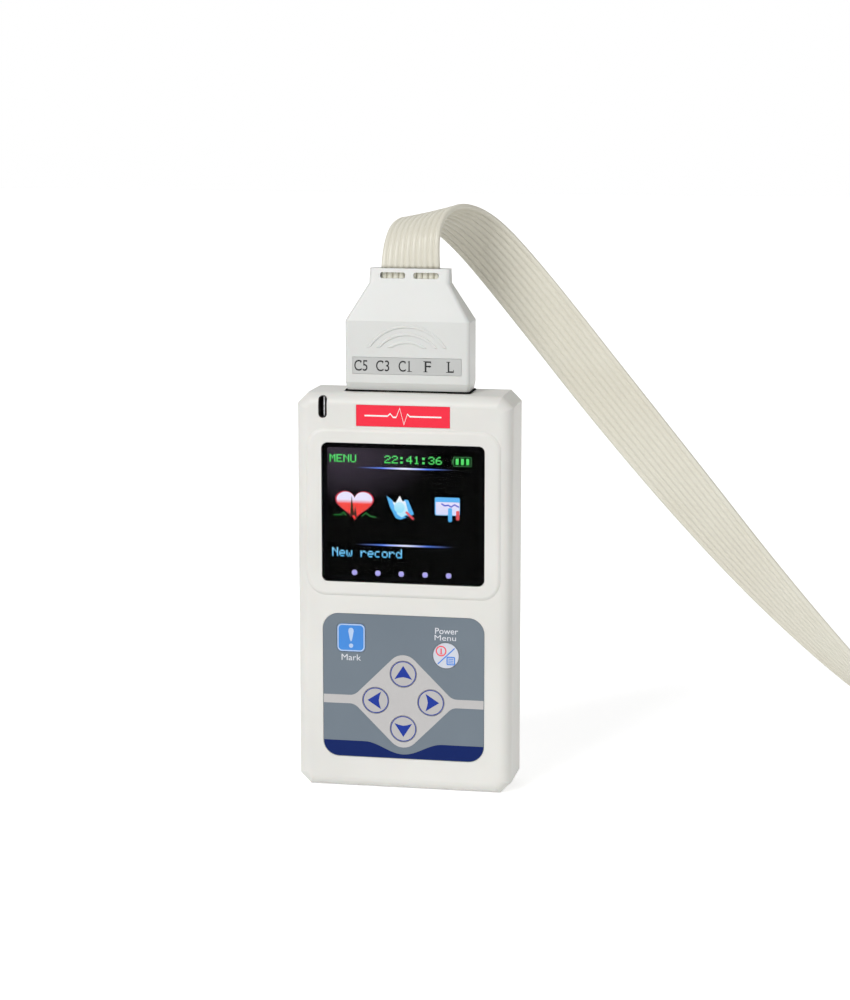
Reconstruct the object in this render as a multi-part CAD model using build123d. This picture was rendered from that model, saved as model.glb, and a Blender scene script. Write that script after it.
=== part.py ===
from build123d import *

import math
import os

# A pocket heart recorder that stands on its bottom end, with its patient cable plugged into the top.
# +Z is up, +X is to the right of someone who looks at the screen, and +Y is the back.
# The origin is the middle of the bottom end. All lengths are in millimetres.

os.makedirs("parts", exist_ok=True)

# Case
case_width = 62.0
case_height = 114.6
case_corner_cut = 3.1
front_edge_radius = 3.5
rear_edge_radius = 4.0
case_wall = 2.0
rear_shell_depth = 7.0
lip_height = 1.2
lip_thickness = 1.0
lip_root = 2.5
fit_gap = 0.1
overrun = 1.0

# Window, bezel and display
window_side_margin = 7.6
window_film_gap = 9.45
window_corner_radius = 1.7
window_thickness = 1.0
window_top_margin = 13.9
bezel_side_margin = 3.9
bezel_end_margin = 3.5
bezel_corner_radius = 5.0
bezel_rise = 0.6
bezel_edge_radius = 1.2
bezel_flare = 0.7
sight_inset = 0.9
sight_end_inset = 0.8
gasket_thickness = 0.5
gasket_margin = 1.3
display_side_reach = 1.6
display_end_reach = 0.55
display_thickness = 2.6
tape_thickness = 0.6
tape_inset = 7.0
tape_end_inset = 6.5
flex_width = 16.0
flex_thickness = 0.2
flex_drop = 2.6
flex_lead_in = 3.0
flex_socket_height = 3.0
flex_socket_width = 18.0

# Keypad film and keys
film_side_margin = 7.6
film_height = 42.0
film_corner_radius = 4.6
film_thickness = 0.4
film_bottom_margin = 9.35
key_gap = 0.15
key_thickness = 0.35
key_well_depth = 0.9
key_stem_radius = 1.6
key_stem_gap = 0.25
key_tip_gap = 0.6
arrow_key_radius = 3.8
arrow_key_reach = 8.05
arrow_pad_drop = 4.1
mark_key_side = 8.1
mark_key_corner_radius = 1.4
mark_key_inset = 8.2
mark_key_rise = 14.0
power_key_radius = 3.7
power_key_inset = 11.0
power_key_rise = 9.9

# Circuit board and what it carries
board_side_gap = 6.0
board_thickness = 1.6
board_end_gap = 5.0
board_top_gap = 6.1
board_corner_radius = 1.5
switch_side = 6.0
switch_clearance = 0.4
switch_well_depth = 1.3
board_boss_radius = 2.2
board_screw_inset = 2.5
board_screw_end_inset = 2.9
board_screw_head_radius = 1.7
board_screw_head_height = 1.1
board_screw_radius = 0.9
board_screw_length = 4.4
chip_height = 1.2
tail_gap = 2.5
processor_share = 0.348
memory_width_share = 0.348
memory_length_share = 0.232
amplifier_share = 0.203
crystal_width_share = 0.093
crystal_length_share = 0.203
chip_spacing_share = 0.0725
buzzer_share = 0.13
clock_cell_share = 0.18
buzzer_height = 3.0
buzzer_hole_radius = 0.8
clock_cell_height = 2.1
holder_wall = 0.8
holder_height = 3.0

# Case screws
case_screw_inset = 5.0
case_screw_bottom = 7.0
case_screw_top_gap = 10.1
case_boss_radius = 2.6
rear_boss_radius = 2.8
case_screw_radius = 1.0
case_screw_length = 11.0
case_screw_head_radius = 2.0
case_screw_head_height = 1.6
screw_seat_depth = 3.0
screw_gap = 0.05
screw_head_gap = 0.2
drive_radius = 0.8
drive_depth = 0.7

# Nameplate and lanyard slot
nameplate_width = 26.8
nameplate_height = 6.0
nameplate_thickness = 0.2
nameplate_top_gap = 6.0
slot_width = 2.5
slot_height = 6.3
slot_inset = 7.85
slot_top_gap = 0.7
slot_depth = 4.5
slot_block_wall = 1.6
slot_block_skin = 1.0
bar_radius = 0.6
bar_seat = 0.2
bar_setback = 2.7

# Battery bay and its door
cell_radius = 5.25
cell_length = 43.7
cell_nub_radius = 1.9
cell_nub_height = 0.8
cell_gap = 0.35
bay_wall = 1.2
bay_floor_gap = 0.4
bay_clearance = 0.4
bay_bottom = 14.0
spring_length = 4.6
spring_base_radius = 3.6
spring_tip_radius = 2.2
contact_thickness = 0.4
contact_width = 8.0
contact_height = 8.6
door_side_margin = 4.775
door_thickness = 1.6
door_margin = 3.2
door_gap = 0.25
door_ledge = 1.3
door_ledge_reach = 2.0
peg_radius = 0.6
peg_length = 1.4
peg_gap = 0.12
grip_groove_width = 1.0
grip_groove_length = 14.0
grip_groove_pitch = 2.0
grip_groove_depth = 0.45
grip_groove_count = 5
nail_notch_radius = 5.0
nail_notch_depth = 1.0

# Socket in the top of the case
socket_width = 24.4
socket_depth = 7.2
socket_shell_wall = 0.4
socket_corner_radius = 1.6
socket_ear = 4.3
socket_lip = 0.85
socket_flange_height = 2.5
socket_mating_height = 5.9
socket_top_gap = 0.8
socket_core_gap = 0.1
socket_core_setback = 0.4
contact_hole_radius = 0.65
contact_hole_depth = 4.6
d_slant_share = 0.176
pin_end_margin = 2.505
pin_row_margin = 2.18
long_row_count = 8
short_row_count = 7
tail_side = 0.5
tail_length = 2.0
tail_row_step = 1.4
top_recess_depth = 0.6
top_recess_gap = 0.5

# Cable plug
plug_width = 35.8
plug_depth = 11.5
plug_seat_gap = 0.4
plug_shoulder_height = 19.7
plug_neck_start = 30.2
plug_height = 34.3
plug_neck_width = 23.2
plug_top_depth = 3.5
plug_edge_radius = 1.1
plug_foot_inset = 0.9
plug_foot_side_inset = 0.3
plug_foot_rise = 2.2
plug_wall = 1.4
plug_floor = 1.6
plug_cavity_top_gap = 5.3
plug_cavity_corner_radius = 0.5
plug_shell_gap = 0.3
plug_shell_wall = 0.35
plug_shell_reach = 6.0
plug_shell_rise = 3.0
plug_opening_gap = 0.1
case_opening_gap = 0.4
plug_core_height = 4.0
pin_radius = 0.45
pin_reach = 5.4
pin_tail = 2.2
plug_label_inset = 2.3
plug_label_height = 4.7
plug_label_thickness = 0.2
plug_label_rise = 4.7
label_sink = 0.05
arc_centre_rise = 5.3
arc_radii = (13.4, 11.2, 9.0)
arc_base_rise = 12.3
arc_width = 0.8
arc_rise = 0.3
arc_edge_radius = 0.2
arc_root = 0.3
wire_window_width = 7.3
wire_window_height = 1.7
wire_window_inset = 1.15
wire_window_top_gap = 1.1
wire_window_corner_radius = 0.7
plug_screw_inset = 3.7
plug_screw_rise = 13.6
plug_boss_radius = 2.0
plug_screw_radius = 0.9
plug_screw_length = 7.4
plug_screw_head_radius = 1.7
plug_screw_head_height = 1.2
plug_screw_seat = 1.6
clamp_reach = 1.3
clamp_thickness = 1.4
clamp_height = 3.0
clamp_top_gap = 7.3

# Patient cable: a ribbon of ten leads, a splitter, a coil of the ten leads, an organiser and ten snaps
lead_count = 10
lead_diameter = 1.7
ribbon_gap = 0.15
splitter_length = 22.0
splitter_skirt = 1.8
splitter_shoulder = 2.0
splitter_top_wall = 0.9
splitter_ribbon_wall = 1.75
splitter_corner_radius = 1.6
bundle_diameter = 6.6
bundle_start = 16.0
coil_radius = 39.0
coil_gap = 0.6
coil_rise_gap = 1.4
tie_gap = 0.25
tie_thickness = 0.65
tie_width = 6.0
organiser_length = 16.0
organiser_width = 23.0
organiser_height = 4.0
organiser_pitch = 2.1
organiser_angle = -30.0
snap_radius = 5.5
snap_height = 5.4
snap_edge_radius = 1.2
snap_tail_length = 9.0
snap_tail_start = 3.6
snap_tail_end = 2.8
snap_tail_height = 4.6
snap_bore_radius = 3.3
snap_bore_depth = 2.8
snap_ring_wall = 1.15
snap_ring_height = 2.4
snap_ring_gap = 0.15
floor_clearance = 0.05

# The case is as deep as what lies in it, one layer on another.
case_depth = sum(
    (
        case_wall, gasket_thickness, display_thickness, tape_thickness, board_thickness, bay_clearance,
        bay_wall, bay_floor_gap, cell_radius, cell_radius, cell_gap, door_gap, door_thickness,
    )
)

# Sizes that follow from the others
window_width = case_width - 2 * window_side_margin
window_height = case_height - window_top_margin - window_film_gap - film_height - film_bottom_margin
sight_width = window_width - 2 * sight_inset
sight_height = window_height - 2 * sight_end_inset
display_width = window_width + 2 * display_side_reach
display_height = window_height + 2 * display_end_reach
tape_width = display_width - 2 * tape_inset
tape_height = display_height - 2 * tape_end_inset
film_width = case_width - 2 * film_side_margin
mark_key_left = film_width / 2 - mark_key_inset
power_key_right = film_width / 2 - power_key_inset
board_width = case_width - 2 * (case_wall + board_side_gap)
slot_left = case_width / 2 - slot_inset
door_width = 2 * (2 * cell_radius + 3 * cell_gap / 2 + bay_wall + door_side_margin)
socket_flange_width = socket_width + 2 * socket_ear
socket_flange_depth = socket_depth + 2 * socket_lip
pin_pitch = (socket_width - 2 * pin_end_margin) / (long_row_count - 1)
pin_row_pitch = socket_depth - 2 * pin_row_margin
plug_label_width = plug_width - 2 * plug_label_inset
ribbon_width = lead_count * lead_diameter
clamp_width = ribbon_width + 2 * clamp_reach
splitter_ribbon_width = ribbon_width + 2 * splitter_skirt
splitter_ribbon_height = lead_diameter + 2 * splitter_ribbon_wall
splitter_bundle_width = bundle_diameter + 2 * splitter_shoulder
splitter_bundle_height = bundle_diameter + 2 * splitter_top_wall
coil_step = bundle_diameter + coil_gap
coil_rise = bundle_diameter + coil_rise_gap

# Planes and centres that several pieces share
front_y = -case_depth / 2
rear_y = case_depth / 2
split_y = rear_y - rear_shell_depth
inner_front_y = front_y + case_wall
inner_rear_y = rear_y - case_wall
bezel_y = front_y - bezel_rise
window_z = case_height - window_top_margin - window_height / 2
film_z = film_bottom_margin + film_height / 2
display_front_y = inner_front_y + gasket_thickness
display_back_y = display_front_y + display_thickness
board_front_y = display_back_y + tape_thickness
board_back_y = board_front_y + board_thickness
board_bottom_z = case_wall + board_end_gap
board_top_z = case_height - case_wall - board_top_gap
plug_y = board_back_y + socket_flange_depth / 2

nodes = {}


def keep(name, *solids):
    """Keep one named piece, or one named group of like pieces."""
    nodes[name] = Compound(children=list(solids)) if len(solids) > 1 else solids[0]


def along_y(outline, start, end):
    """Solid of an outline drawn in X and Z, between two depths."""
    return extrude(Plane.XZ.offset(-end) * outline, amount=end - start, dir=(0, -1, 0))


def along_z(outline, start, end):
    """Solid of an outline drawn in X and Y, between two heights."""
    return extrude(Plane.XY.offset(start) * outline, amount=end - start, dir=(0, 0, 1))


def along_x(outline, start, end):
    """Solid of an outline drawn in Y and Z, between two places across."""
    return extrude(Plane.YZ.offset(start) * outline, amount=end - start, dir=(1, 0, 0))


def block(x, y, z):
    """Box between two places on each axis."""
    size = [high - low for low, high in (x, y, z)]
    return Pos(*[(low + high) / 2 for low, high in (x, y, z)]) * Box(*size)


def single(shape):
    """The one solid of a cut or fused shape."""
    return max(shape.solids(), key=lambda s: s.volume)


def nearest_face(shape, axis, last):
    """The lowest or highest face of a shape along an axis."""
    return shape.faces().sort_by(axis)[-1 if last else 0]


# Case shells
def case_outline(inset):
    """Outline of the case with its corners cut off, taken in on all sides."""
    across, high = case_width / 2 - inset, case_height / 2 - inset
    cut = case_corner_cut - inset * (2 - math.sqrt(2))
    corners = [
        (-across + cut, -high), (across - cut, -high), (across, -high + cut), (across, high - cut),
        (across - cut, high), (-across + cut, high), (-across, high - cut), (-across, -high + cut),
    ]
    return Pos(0, case_height / 2) * Polygon(*corners, align=None)


def case_form(inset, front, rear):
    """Rounded block of the case, taken in on all sides."""
    form = along_y(case_outline(inset), front, rear)
    form = fillet(nearest_face(form, Axis.Y, False).edges(), front_edge_radius - inset)
    return fillet(nearest_face(form, Axis.Y, True).edges(), rear_edge_radius - inset)


def case_ring(outer_inset, thickness, start, end):
    """Ring that follows the inside of the case wall."""
    rings = [along_y(case_outline(inset), start, end) for inset in (outer_inset, outer_inset + thickness)]
    return rings[0] - rings[1]


def pin_places():
    """Places of the two rows of pins about the middle of the connector."""
    places = []
    for row, count in ((1, long_row_count), (-1, short_row_count)):
        for i in range(count):
            places.append(((i - (count - 1) / 2) * pin_pitch, row * pin_row_pitch / 2))
    return places


def d_outline(width, depth, corner):
    """Outline of a D-shaped connector, with its wide side to the back."""
    slant = depth * d_slant_share
    corners = [
        (-width / 2, depth / 2),
        (width / 2, depth / 2),
        (width / 2 - slant, -depth / 2),
        (-width / 2 + slant, -depth / 2),
    ]
    face = Polygon(*corners, align=None)
    return Pos(0, plug_y) * fillet(face.vertices(), corner)


case_screw_places = [
    (side * (case_width / 2 - case_screw_inset), z)
    for side in (-1, 1)
    for z in (case_screw_bottom, case_height - case_screw_top_gap)
]
board_screw_places = [
    (side * (board_width / 2 - board_screw_inset), z)
    for side in (-1, 1)
    for z in (board_bottom_z + board_screw_end_inset, board_top_z - board_screw_end_inset)
]

pad_z = film_z - arrow_pad_drop
round_key_places = {
    "up_key": (0, pad_z + arrow_key_reach, arrow_key_radius),
    "down_key": (0, pad_z - arrow_key_reach, arrow_key_radius),
    "left_key": (-arrow_key_reach, pad_z, arrow_key_radius),
    "right_key": (arrow_key_reach, pad_z, arrow_key_radius),
    "power_menu_key": (power_key_right, film_z + power_key_rise, power_key_radius),
}
mark_key_place = (-mark_key_left, film_z + mark_key_rise)
key_places = [(x, z) for x, z, _ in round_key_places.values()] + [mark_key_place]


def key_outlines(grow):
    """Outline of each key, grown by a gap, at its place on the film."""
    outlines = {
        name: Pos(x, z) * Circle(radius + grow)
        for name, (x, z, radius) in round_key_places.items()
    }
    side = mark_key_side + 2 * grow
    mark = RectangleRounded(side, side, mark_key_corner_radius + grow)
    outlines["mark_key"] = Pos(*mark_key_place) * mark
    return outlines


outer_form = case_form(0, front_y, rear_y)
hollow = outer_form - case_form(case_wall, inner_front_y, inner_rear_y)
reach_x = (-case_width, case_width)
reach_z = (-case_height, 2 * case_height)

front_shell = single(hollow & block(reach_x, (front_y - overrun, split_y), reach_z))
rear_shell = single(hollow & block(reach_x, (split_y, rear_y + overrun), reach_z))

# The lip of the front shell reaches into the rear shell, and is left out where the screw columns stand.
lip = case_ring(case_wall - fit_gap, lip_thickness + fit_gap, split_y - lip_root, split_y)
lip += case_ring(case_wall + fit_gap, lip_thickness - fit_gap, split_y - lip_root, split_y + lip_height)
for x, z in case_screw_places:
    lip -= along_y(Pos(x, z) * Circle(rear_boss_radius + door_gap), split_y, split_y + 2 * lip_height)
front_shell += lip

# Bezel round the window, a low raised frame whose sides spread towards the case.
bezel_outlines = []
for y in (front_y + overrun, bezel_y):
    spread = bezel_flare * (y - bezel_y) / bezel_rise
    bezel_outline = RectangleRounded(
        window_width + 2 * (bezel_side_margin + spread),
        window_height + 2 * (bezel_end_margin + spread),
        bezel_corner_radius + spread,
    )
    bezel_outlines.append(Plane.XZ.offset(-y) * Pos(0, window_z) * bezel_outline)
bezel = loft(bezel_outlines, ruled=True)
bezel = fillet(nearest_face(bezel, Axis.Y, False).edges(), bezel_edge_radius)
front_shell += bezel

# Screw columns of the front shell.
for x, z in case_screw_places:
    front_shell += along_y(Pos(x, z) * Circle(case_boss_radius), inner_front_y - fit_gap, split_y)
for x, z in board_screw_places:
    front_shell += along_y(Pos(x, z) * Circle(board_boss_radius), inner_front_y - fit_gap, board_front_y)

# Block round the lanyard slot.
slot_top_z = case_height - slot_top_gap
slot_z = slot_top_z - slot_height / 2
slot_x = -slot_left
slot_floor_y = front_y + slot_depth
front_shell += block(
    (slot_x - slot_width / 2 - slot_block_wall, slot_x + slot_width / 2 + slot_block_wall),
    (inner_front_y - fit_gap, slot_floor_y + slot_block_skin),
    (slot_top_z - slot_height - slot_block_wall, case_height - case_wall + fit_gap),
)

# Window seat, sight opening, film seat, key wells and the nameplate seat.
window_seat = RectangleRounded(
    window_width + 2 * fit_gap, window_height + 2 * fit_gap, window_corner_radius + fit_gap
)
front_shell -= along_y(Pos(0, window_z) * window_seat, bezel_y - overrun, bezel_y + window_thickness + fit_gap)
sight = Rectangle(sight_width, sight_height)
front_shell -= along_y(Pos(0, window_z) * sight, bezel_y - overrun, inner_front_y + overrun)
film_seat = RectangleRounded(
    film_width + 2 * fit_gap, film_height + 2 * fit_gap, film_corner_radius + fit_gap
)
front_shell -= along_y(Pos(0, film_z) * film_seat, front_y - overrun, front_y + film_thickness)
for outline in key_outlines(key_gap).values():
    front_shell -= along_y(outline, front_y - overrun, front_y + key_well_depth)
for x, z in key_places:
    stem_hole = Circle(key_stem_radius + key_stem_gap)
    front_shell -= along_y(Pos(x, z) * stem_hole, front_y - overrun, inner_front_y + overrun)
nameplate_z = case_height - nameplate_top_gap
nameplate_seat = Rectangle(nameplate_width + 2 * fit_gap, nameplate_height + 2 * fit_gap)
front_shell -= along_y(
    Pos(0, nameplate_z) * nameplate_seat, front_y - overrun, front_y + nameplate_thickness
)

# Lanyard slot, with a steel bar that stands in it.
slot_outline = RectangleRounded(slot_width, slot_height, slot_width / 2 - fit_gap)
front_shell -= along_y(Pos(slot_x, slot_z) * slot_outline, front_y - overrun, slot_floor_y)
bar_y = front_y + bar_setback
bar_low, bar_high = slot_top_z - slot_height - slot_block_wall / 2, slot_top_z + bar_seat
lanyard_bar = along_z(Pos(slot_x, bar_y) * Circle(bar_radius), bar_low, bar_high)
front_shell -= along_z(Pos(slot_x, bar_y) * Circle(bar_radius + screw_gap), bar_low, bar_high)
keep("lanyard_bar", single(lanyard_bar))

# Pilot holes of the front shell.
for x, z in case_screw_places:
    hole = Circle(case_screw_radius + screw_gap)
    front_shell -= along_y(Pos(x, z) * hole, split_y - case_screw_length, split_y + overrun)
board_screw_tip = board_back_y - board_screw_length
for x, z in board_screw_places:
    hole = Circle(board_screw_radius + screw_gap)
    front_shell -= along_y(Pos(x, z) * hole, board_screw_tip - fit_gap, board_front_y + overrun)

# Opening for the connector, and the shallow seat of the plug, both cut in the two shells.
plug_shell_width = socket_width + 2 * plug_shell_gap + 2 * plug_shell_wall
plug_shell_depth = socket_depth + 2 * plug_shell_gap + 2 * plug_shell_wall
case_opening = d_outline(
    plug_shell_width + 2 * case_opening_gap,
    plug_shell_depth + 2 * case_opening_gap,
    socket_corner_radius + case_opening_gap,
)
opening_cut = along_z(case_opening, case_height - 2 * case_wall, case_height + overrun)
recess_outline = RectangleRounded(
    plug_width + 2 * top_recess_gap, plug_depth + 2 * top_recess_gap, plug_edge_radius + top_recess_gap
)
recess_cut = along_z(Pos(0, plug_y) * recess_outline, case_height - top_recess_depth, case_height + overrun)
front_shell -= opening_cut
front_shell -= recess_cut
rear_shell -= opening_cut
rear_shell -= recess_cut
keep("front_shell", single(front_shell))

# Battery bay, moulded into the rear shell. Two cells lie side by side.
cell_y = rear_y - door_thickness - door_gap - cell_gap - cell_radius
cell_x = cell_radius + cell_gap / 2
bay_half_width = cell_x + cell_radius + cell_gap
bay_floor_y = cell_y - cell_radius - bay_floor_gap
bay_length = cell_length + cell_nub_height + spring_length + contact_thickness
bay_top = bay_bottom + bay_length
door_bottom = bay_bottom - door_margin
door_top = bay_top + door_margin
door_z = (door_bottom + door_top) / 2
door_height = door_top - door_bottom
ledge_y = rear_y - door_thickness - door_gap
for x, z in case_screw_places:
    rear_shell += along_y(Pos(x, z) * Circle(rear_boss_radius), split_y, inner_rear_y + fit_gap)
rear_shell += block(
    (-door_width / 2 - door_ledge_reach, door_width / 2 + door_ledge_reach),
    (ledge_y - door_ledge, inner_rear_y + fit_gap),
    (door_bottom - door_ledge_reach, door_top + door_ledge_reach),
)
rear_shell += block(
    (-bay_half_width - bay_wall, bay_half_width + bay_wall),
    (bay_floor_y - bay_wall, ledge_y),
    (bay_bottom - bay_wall, bay_top + bay_wall),
)
rear_shell -= block(
    (-bay_half_width, bay_half_width), (bay_floor_y, rear_y + overrun), (bay_bottom, bay_top)
)
door_seat = Rectangle(door_width + 2 * door_gap, door_height + 2 * door_gap)
rear_shell -= along_y(Pos(0, door_z) * door_seat, ledge_y, rear_y + overrun)
nail_notch = Pos(0, door_top) * Circle(nail_notch_radius)
rear_shell -= along_y(nail_notch, rear_y - nail_notch_depth, rear_y + overrun)

# The door turns on two pegs at its rounded lower edge, which sit in slots open to the back.
hinge_y = rear_y - door_thickness / 2
hinge_z = door_bottom + door_thickness / 2
peg_reach = door_width / 2 + door_gap + peg_length
for side in (-1, 1):
    near, far = side * (door_width / 2 - fit_gap), side * (peg_reach + peg_gap)
    rear_shell -= block(
        (min(near, far), max(near, far)),
        (hinge_y - peg_radius - peg_gap, rear_y + overrun),
        (hinge_z - peg_radius - peg_gap, hinge_z + peg_radius + peg_gap),
    )
for x, z in case_screw_places:
    seat = Circle(case_screw_head_radius + screw_head_gap)
    rear_shell -= along_y(Pos(x, z) * seat, rear_y - screw_seat_depth, rear_y + overrun)
    hole = Circle(case_screw_radius + screw_head_gap)
    rear_shell -= along_y(Pos(x, z) * hole, split_y - overrun, rear_y)
keep("rear_shell", single(rear_shell))

door_plate = along_y(
    Pos(0, (hinge_z + door_top) / 2) * Rectangle(door_width, door_top - hinge_z), rear_y - door_thickness, rear_y
)
door = door_plate + along_x(Pos(hinge_y, hinge_z) * Circle(door_thickness / 2), -door_width / 2, door_width / 2)
door += along_x(Pos(hinge_y, hinge_z) * Circle(peg_radius), -peg_reach, peg_reach)
for i in range(grip_groove_count):
    z = door_top - nail_notch_radius - (i + 1) * grip_groove_pitch
    groove = Pos(0, z) * SlotOverall(grip_groove_length, grip_groove_width)
    door -= along_y(groove, rear_y - grip_groove_depth, rear_y + overrun)
keep("battery_door", single(door))

# Window, display and what holds them.
window_plate = RectangleRounded(window_width, window_height, window_corner_radius)
keep("display_window", single(along_y(Pos(0, window_z) * window_plate, bezel_y + fit_gap, bezel_y + fit_gap + window_thickness)))
gasket = Rectangle(sight_width + 2 * gasket_margin, sight_height + 2 * gasket_margin)
gasket -= Rectangle(sight_width, sight_height)
keep("display_gasket", single(along_y(Pos(0, window_z) * gasket, inner_front_y, display_front_y)))
display = Rectangle(display_width, display_height)
keep("display_module", single(along_y(Pos(0, window_z) * display, display_front_y, display_back_y)))
tape = Rectangle(tape_width, tape_height)
keep("display_tape", single(along_y(Pos(0, window_z) * tape, display_back_y, board_front_y)))

# The flex tail leaves the lower edge of the display and steps back to its socket on the board.
flex_y = (display_front_y + display_back_y) / 2
flex_end_y = board_front_y - display_thickness / 3
display_bottom = window_z - display_height / 2
flex_path = [
    (flex_y, display_bottom),
    (flex_y, display_bottom - flex_drop),
    (flex_end_y, display_bottom - flex_drop - flex_lead_in),
    (flex_end_y, display_bottom - 2 * flex_drop - flex_lead_in),
]
flex_outline = Polygon(
    *[(y - flex_thickness / 2, z) for y, z in flex_path],
    *[(y + flex_thickness / 2, z) for y, z in reversed(flex_path)],
    align=None,
)
keep("display_flex", single(along_x(flex_outline, -flex_width / 2, flex_width / 2)))
flex_end_z = flex_path[-1][1]
flex_socket = block(
    (-flex_socket_width / 2, flex_socket_width / 2),
    (flex_end_y - flex_thickness, board_front_y),
    (flex_end_z - flex_socket_height, flex_end_z),
)

# Keypad film with a hole for each key, and the keys with their stems.
film = RectangleRounded(film_width, film_height, film_corner_radius)
film_plate = along_y(Pos(0, film_z) * film, front_y, front_y + film_thickness)
for outline in key_outlines(key_gap).values():
    film_plate -= along_y(outline, front_y - overrun, front_y + overrun)
keep("keypad_film", single(film_plate))
switch_front_y = inner_front_y + switch_clearance
stem_tip_y = switch_front_y + key_tip_gap
for name, outline in key_outlines(0).items():
    key = along_y(outline, front_y, front_y + key_thickness)
    x, z = mark_key_place if name == "mark_key" else round_key_places[name][:2]
    key += along_y(Pos(x, z) * Circle(key_stem_radius), front_y + key_thickness, stem_tip_y)
    keep(name, single(key))

# Circuit board, switches, chips, buzzer and clock cell.
board = RectangleRounded(board_width, board_top_z - board_bottom_z, board_corner_radius)
main_board = along_y(Pos(0, (board_bottom_z + board_top_z) / 2) * board, board_front_y, board_back_y)
for x, z in board_screw_places:
    hole = Circle(board_screw_radius + screw_head_gap)
    main_board -= along_y(Pos(x, z) * hole, board_front_y - overrun, board_back_y + overrun)
keep("main_board", single(main_board))

switches = []
for x, z in key_places:
    body = along_y(Pos(x, z) * Rectangle(switch_side, switch_side), switch_front_y, board_front_y)
    well = Circle(key_stem_radius + key_stem_gap)
    body -= along_y(Pos(x, z) * well, switch_front_y - overrun, switch_front_y + switch_well_depth)
    switches.append(single(body))
keep("key_switches", *switches)

# The chips fill the back of the board between the battery bay and the socket, in rows down from the socket.
upper_z = board_top_z - tail_length - 2 * tail_row_step - tail_gap
chip_room = upper_z - bay_top - bay_wall
processor_side = processor_share * chip_room
memory_width = memory_width_share * chip_room
memory_length = memory_length_share * chip_room
amplifier_side = amplifier_share * chip_room
crystal_width = crystal_width_share * chip_room
crystal_length = crystal_length_share * chip_room
chip_spacing = chip_spacing_share * chip_room
buzzer_radius = buzzer_share * chip_room
clock_cell_radius = clock_cell_share * chip_room
row_one = upper_z - processor_side / 2
row_two = row_one - processor_side / 2 - chip_spacing - memory_length / 2
chip_plan = [
    (0, row_one, processor_side, processor_side),
    (-processor_side / 2 - chip_spacing - amplifier_side / 2, row_one, amplifier_side, amplifier_side),
    (processor_side / 2 + chip_spacing + amplifier_side / 2, row_one, amplifier_side, amplifier_side),
    (0, row_two, memory_width, memory_length),
    (
        processor_side / 2 + chip_spacing + amplifier_side / 2,
        row_one - amplifier_side / 2 - chip_spacing - crystal_length / 2,
        crystal_width,
        crystal_length,
    ),
]
chips = [
    single(along_y(Pos(x, z) * Rectangle(width, height), board_back_y, board_back_y + chip_height))
    for x, z, width, height in chip_plan
]
keep("board_chips", *chips, single(flex_socket))

row_three = bay_top + bay_wall + chip_spacing + clock_cell_radius + holder_wall
cell_place = (-memory_width / 2 - chip_spacing - clock_cell_radius - holder_wall, row_three)
holder = along_y(
    Pos(*cell_place) * Circle(clock_cell_radius + holder_wall), board_back_y, board_back_y + holder_height
)
holder -= along_y(
    Pos(*cell_place) * Circle(clock_cell_radius + fit_gap), board_back_y + holder_wall, board_back_y + 2 * holder_height
)
keep("clock_cell_holder", single(holder))
clock_cell = along_y(
    Pos(*cell_place) * Circle(clock_cell_radius), board_back_y + holder_wall, board_back_y + holder_wall + clock_cell_height
)
keep("clock_cell", single(clock_cell))
buzzer_place = (memory_width / 2 + chip_spacing + buzzer_radius, row_three)
buzzer = along_y(Pos(*buzzer_place) * Circle(buzzer_radius), board_back_y, board_back_y + buzzer_height)
buzzer -= along_y(
    Pos(*buzzer_place) * Circle(buzzer_hole_radius), board_back_y + buzzer_height / 2, board_back_y + 2 * buzzer_height
)
keep("buzzer", single(buzzer))


def screw(x, z, seat_y, head_radius, head_height, radius, length):
    """Pan-head screw that points to the front, with a cross recess in its head."""
    solid = along_y(Pos(x, z) * Circle(head_radius), seat_y, seat_y + head_height)
    solid = fillet(nearest_face(solid, Axis.Y, True).edges(), head_height / 3)
    solid += along_y(Pos(x, z) * Circle(radius), seat_y - length, seat_y)
    for width, height in ((2 * drive_radius, drive_radius / 2), (drive_radius / 2, 2 * drive_radius)):
        cross = Pos(x, z) * Rectangle(width, height)
        solid -= along_y(cross, seat_y + head_height - drive_depth, seat_y + 2 * head_height)
    return single(solid)


keep(
    "case_screws",
    *[
        screw(
            x, z, rear_y - screw_seat_depth, case_screw_head_radius, case_screw_head_height,
            case_screw_radius, case_screw_length,
        )
        for x, z in case_screw_places
    ],
)
keep(
    "board_screws",
    *[
        screw(
            x, z, board_back_y, board_screw_head_radius, board_screw_head_height,
            board_screw_radius, board_screw_length,
        )
        for x, z in board_screw_places
    ],
)
plate = Rectangle(nameplate_width, nameplate_height)
keep("nameplate", single(along_y(Pos(0, nameplate_z) * plate, front_y, front_y + nameplate_thickness)))

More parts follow.
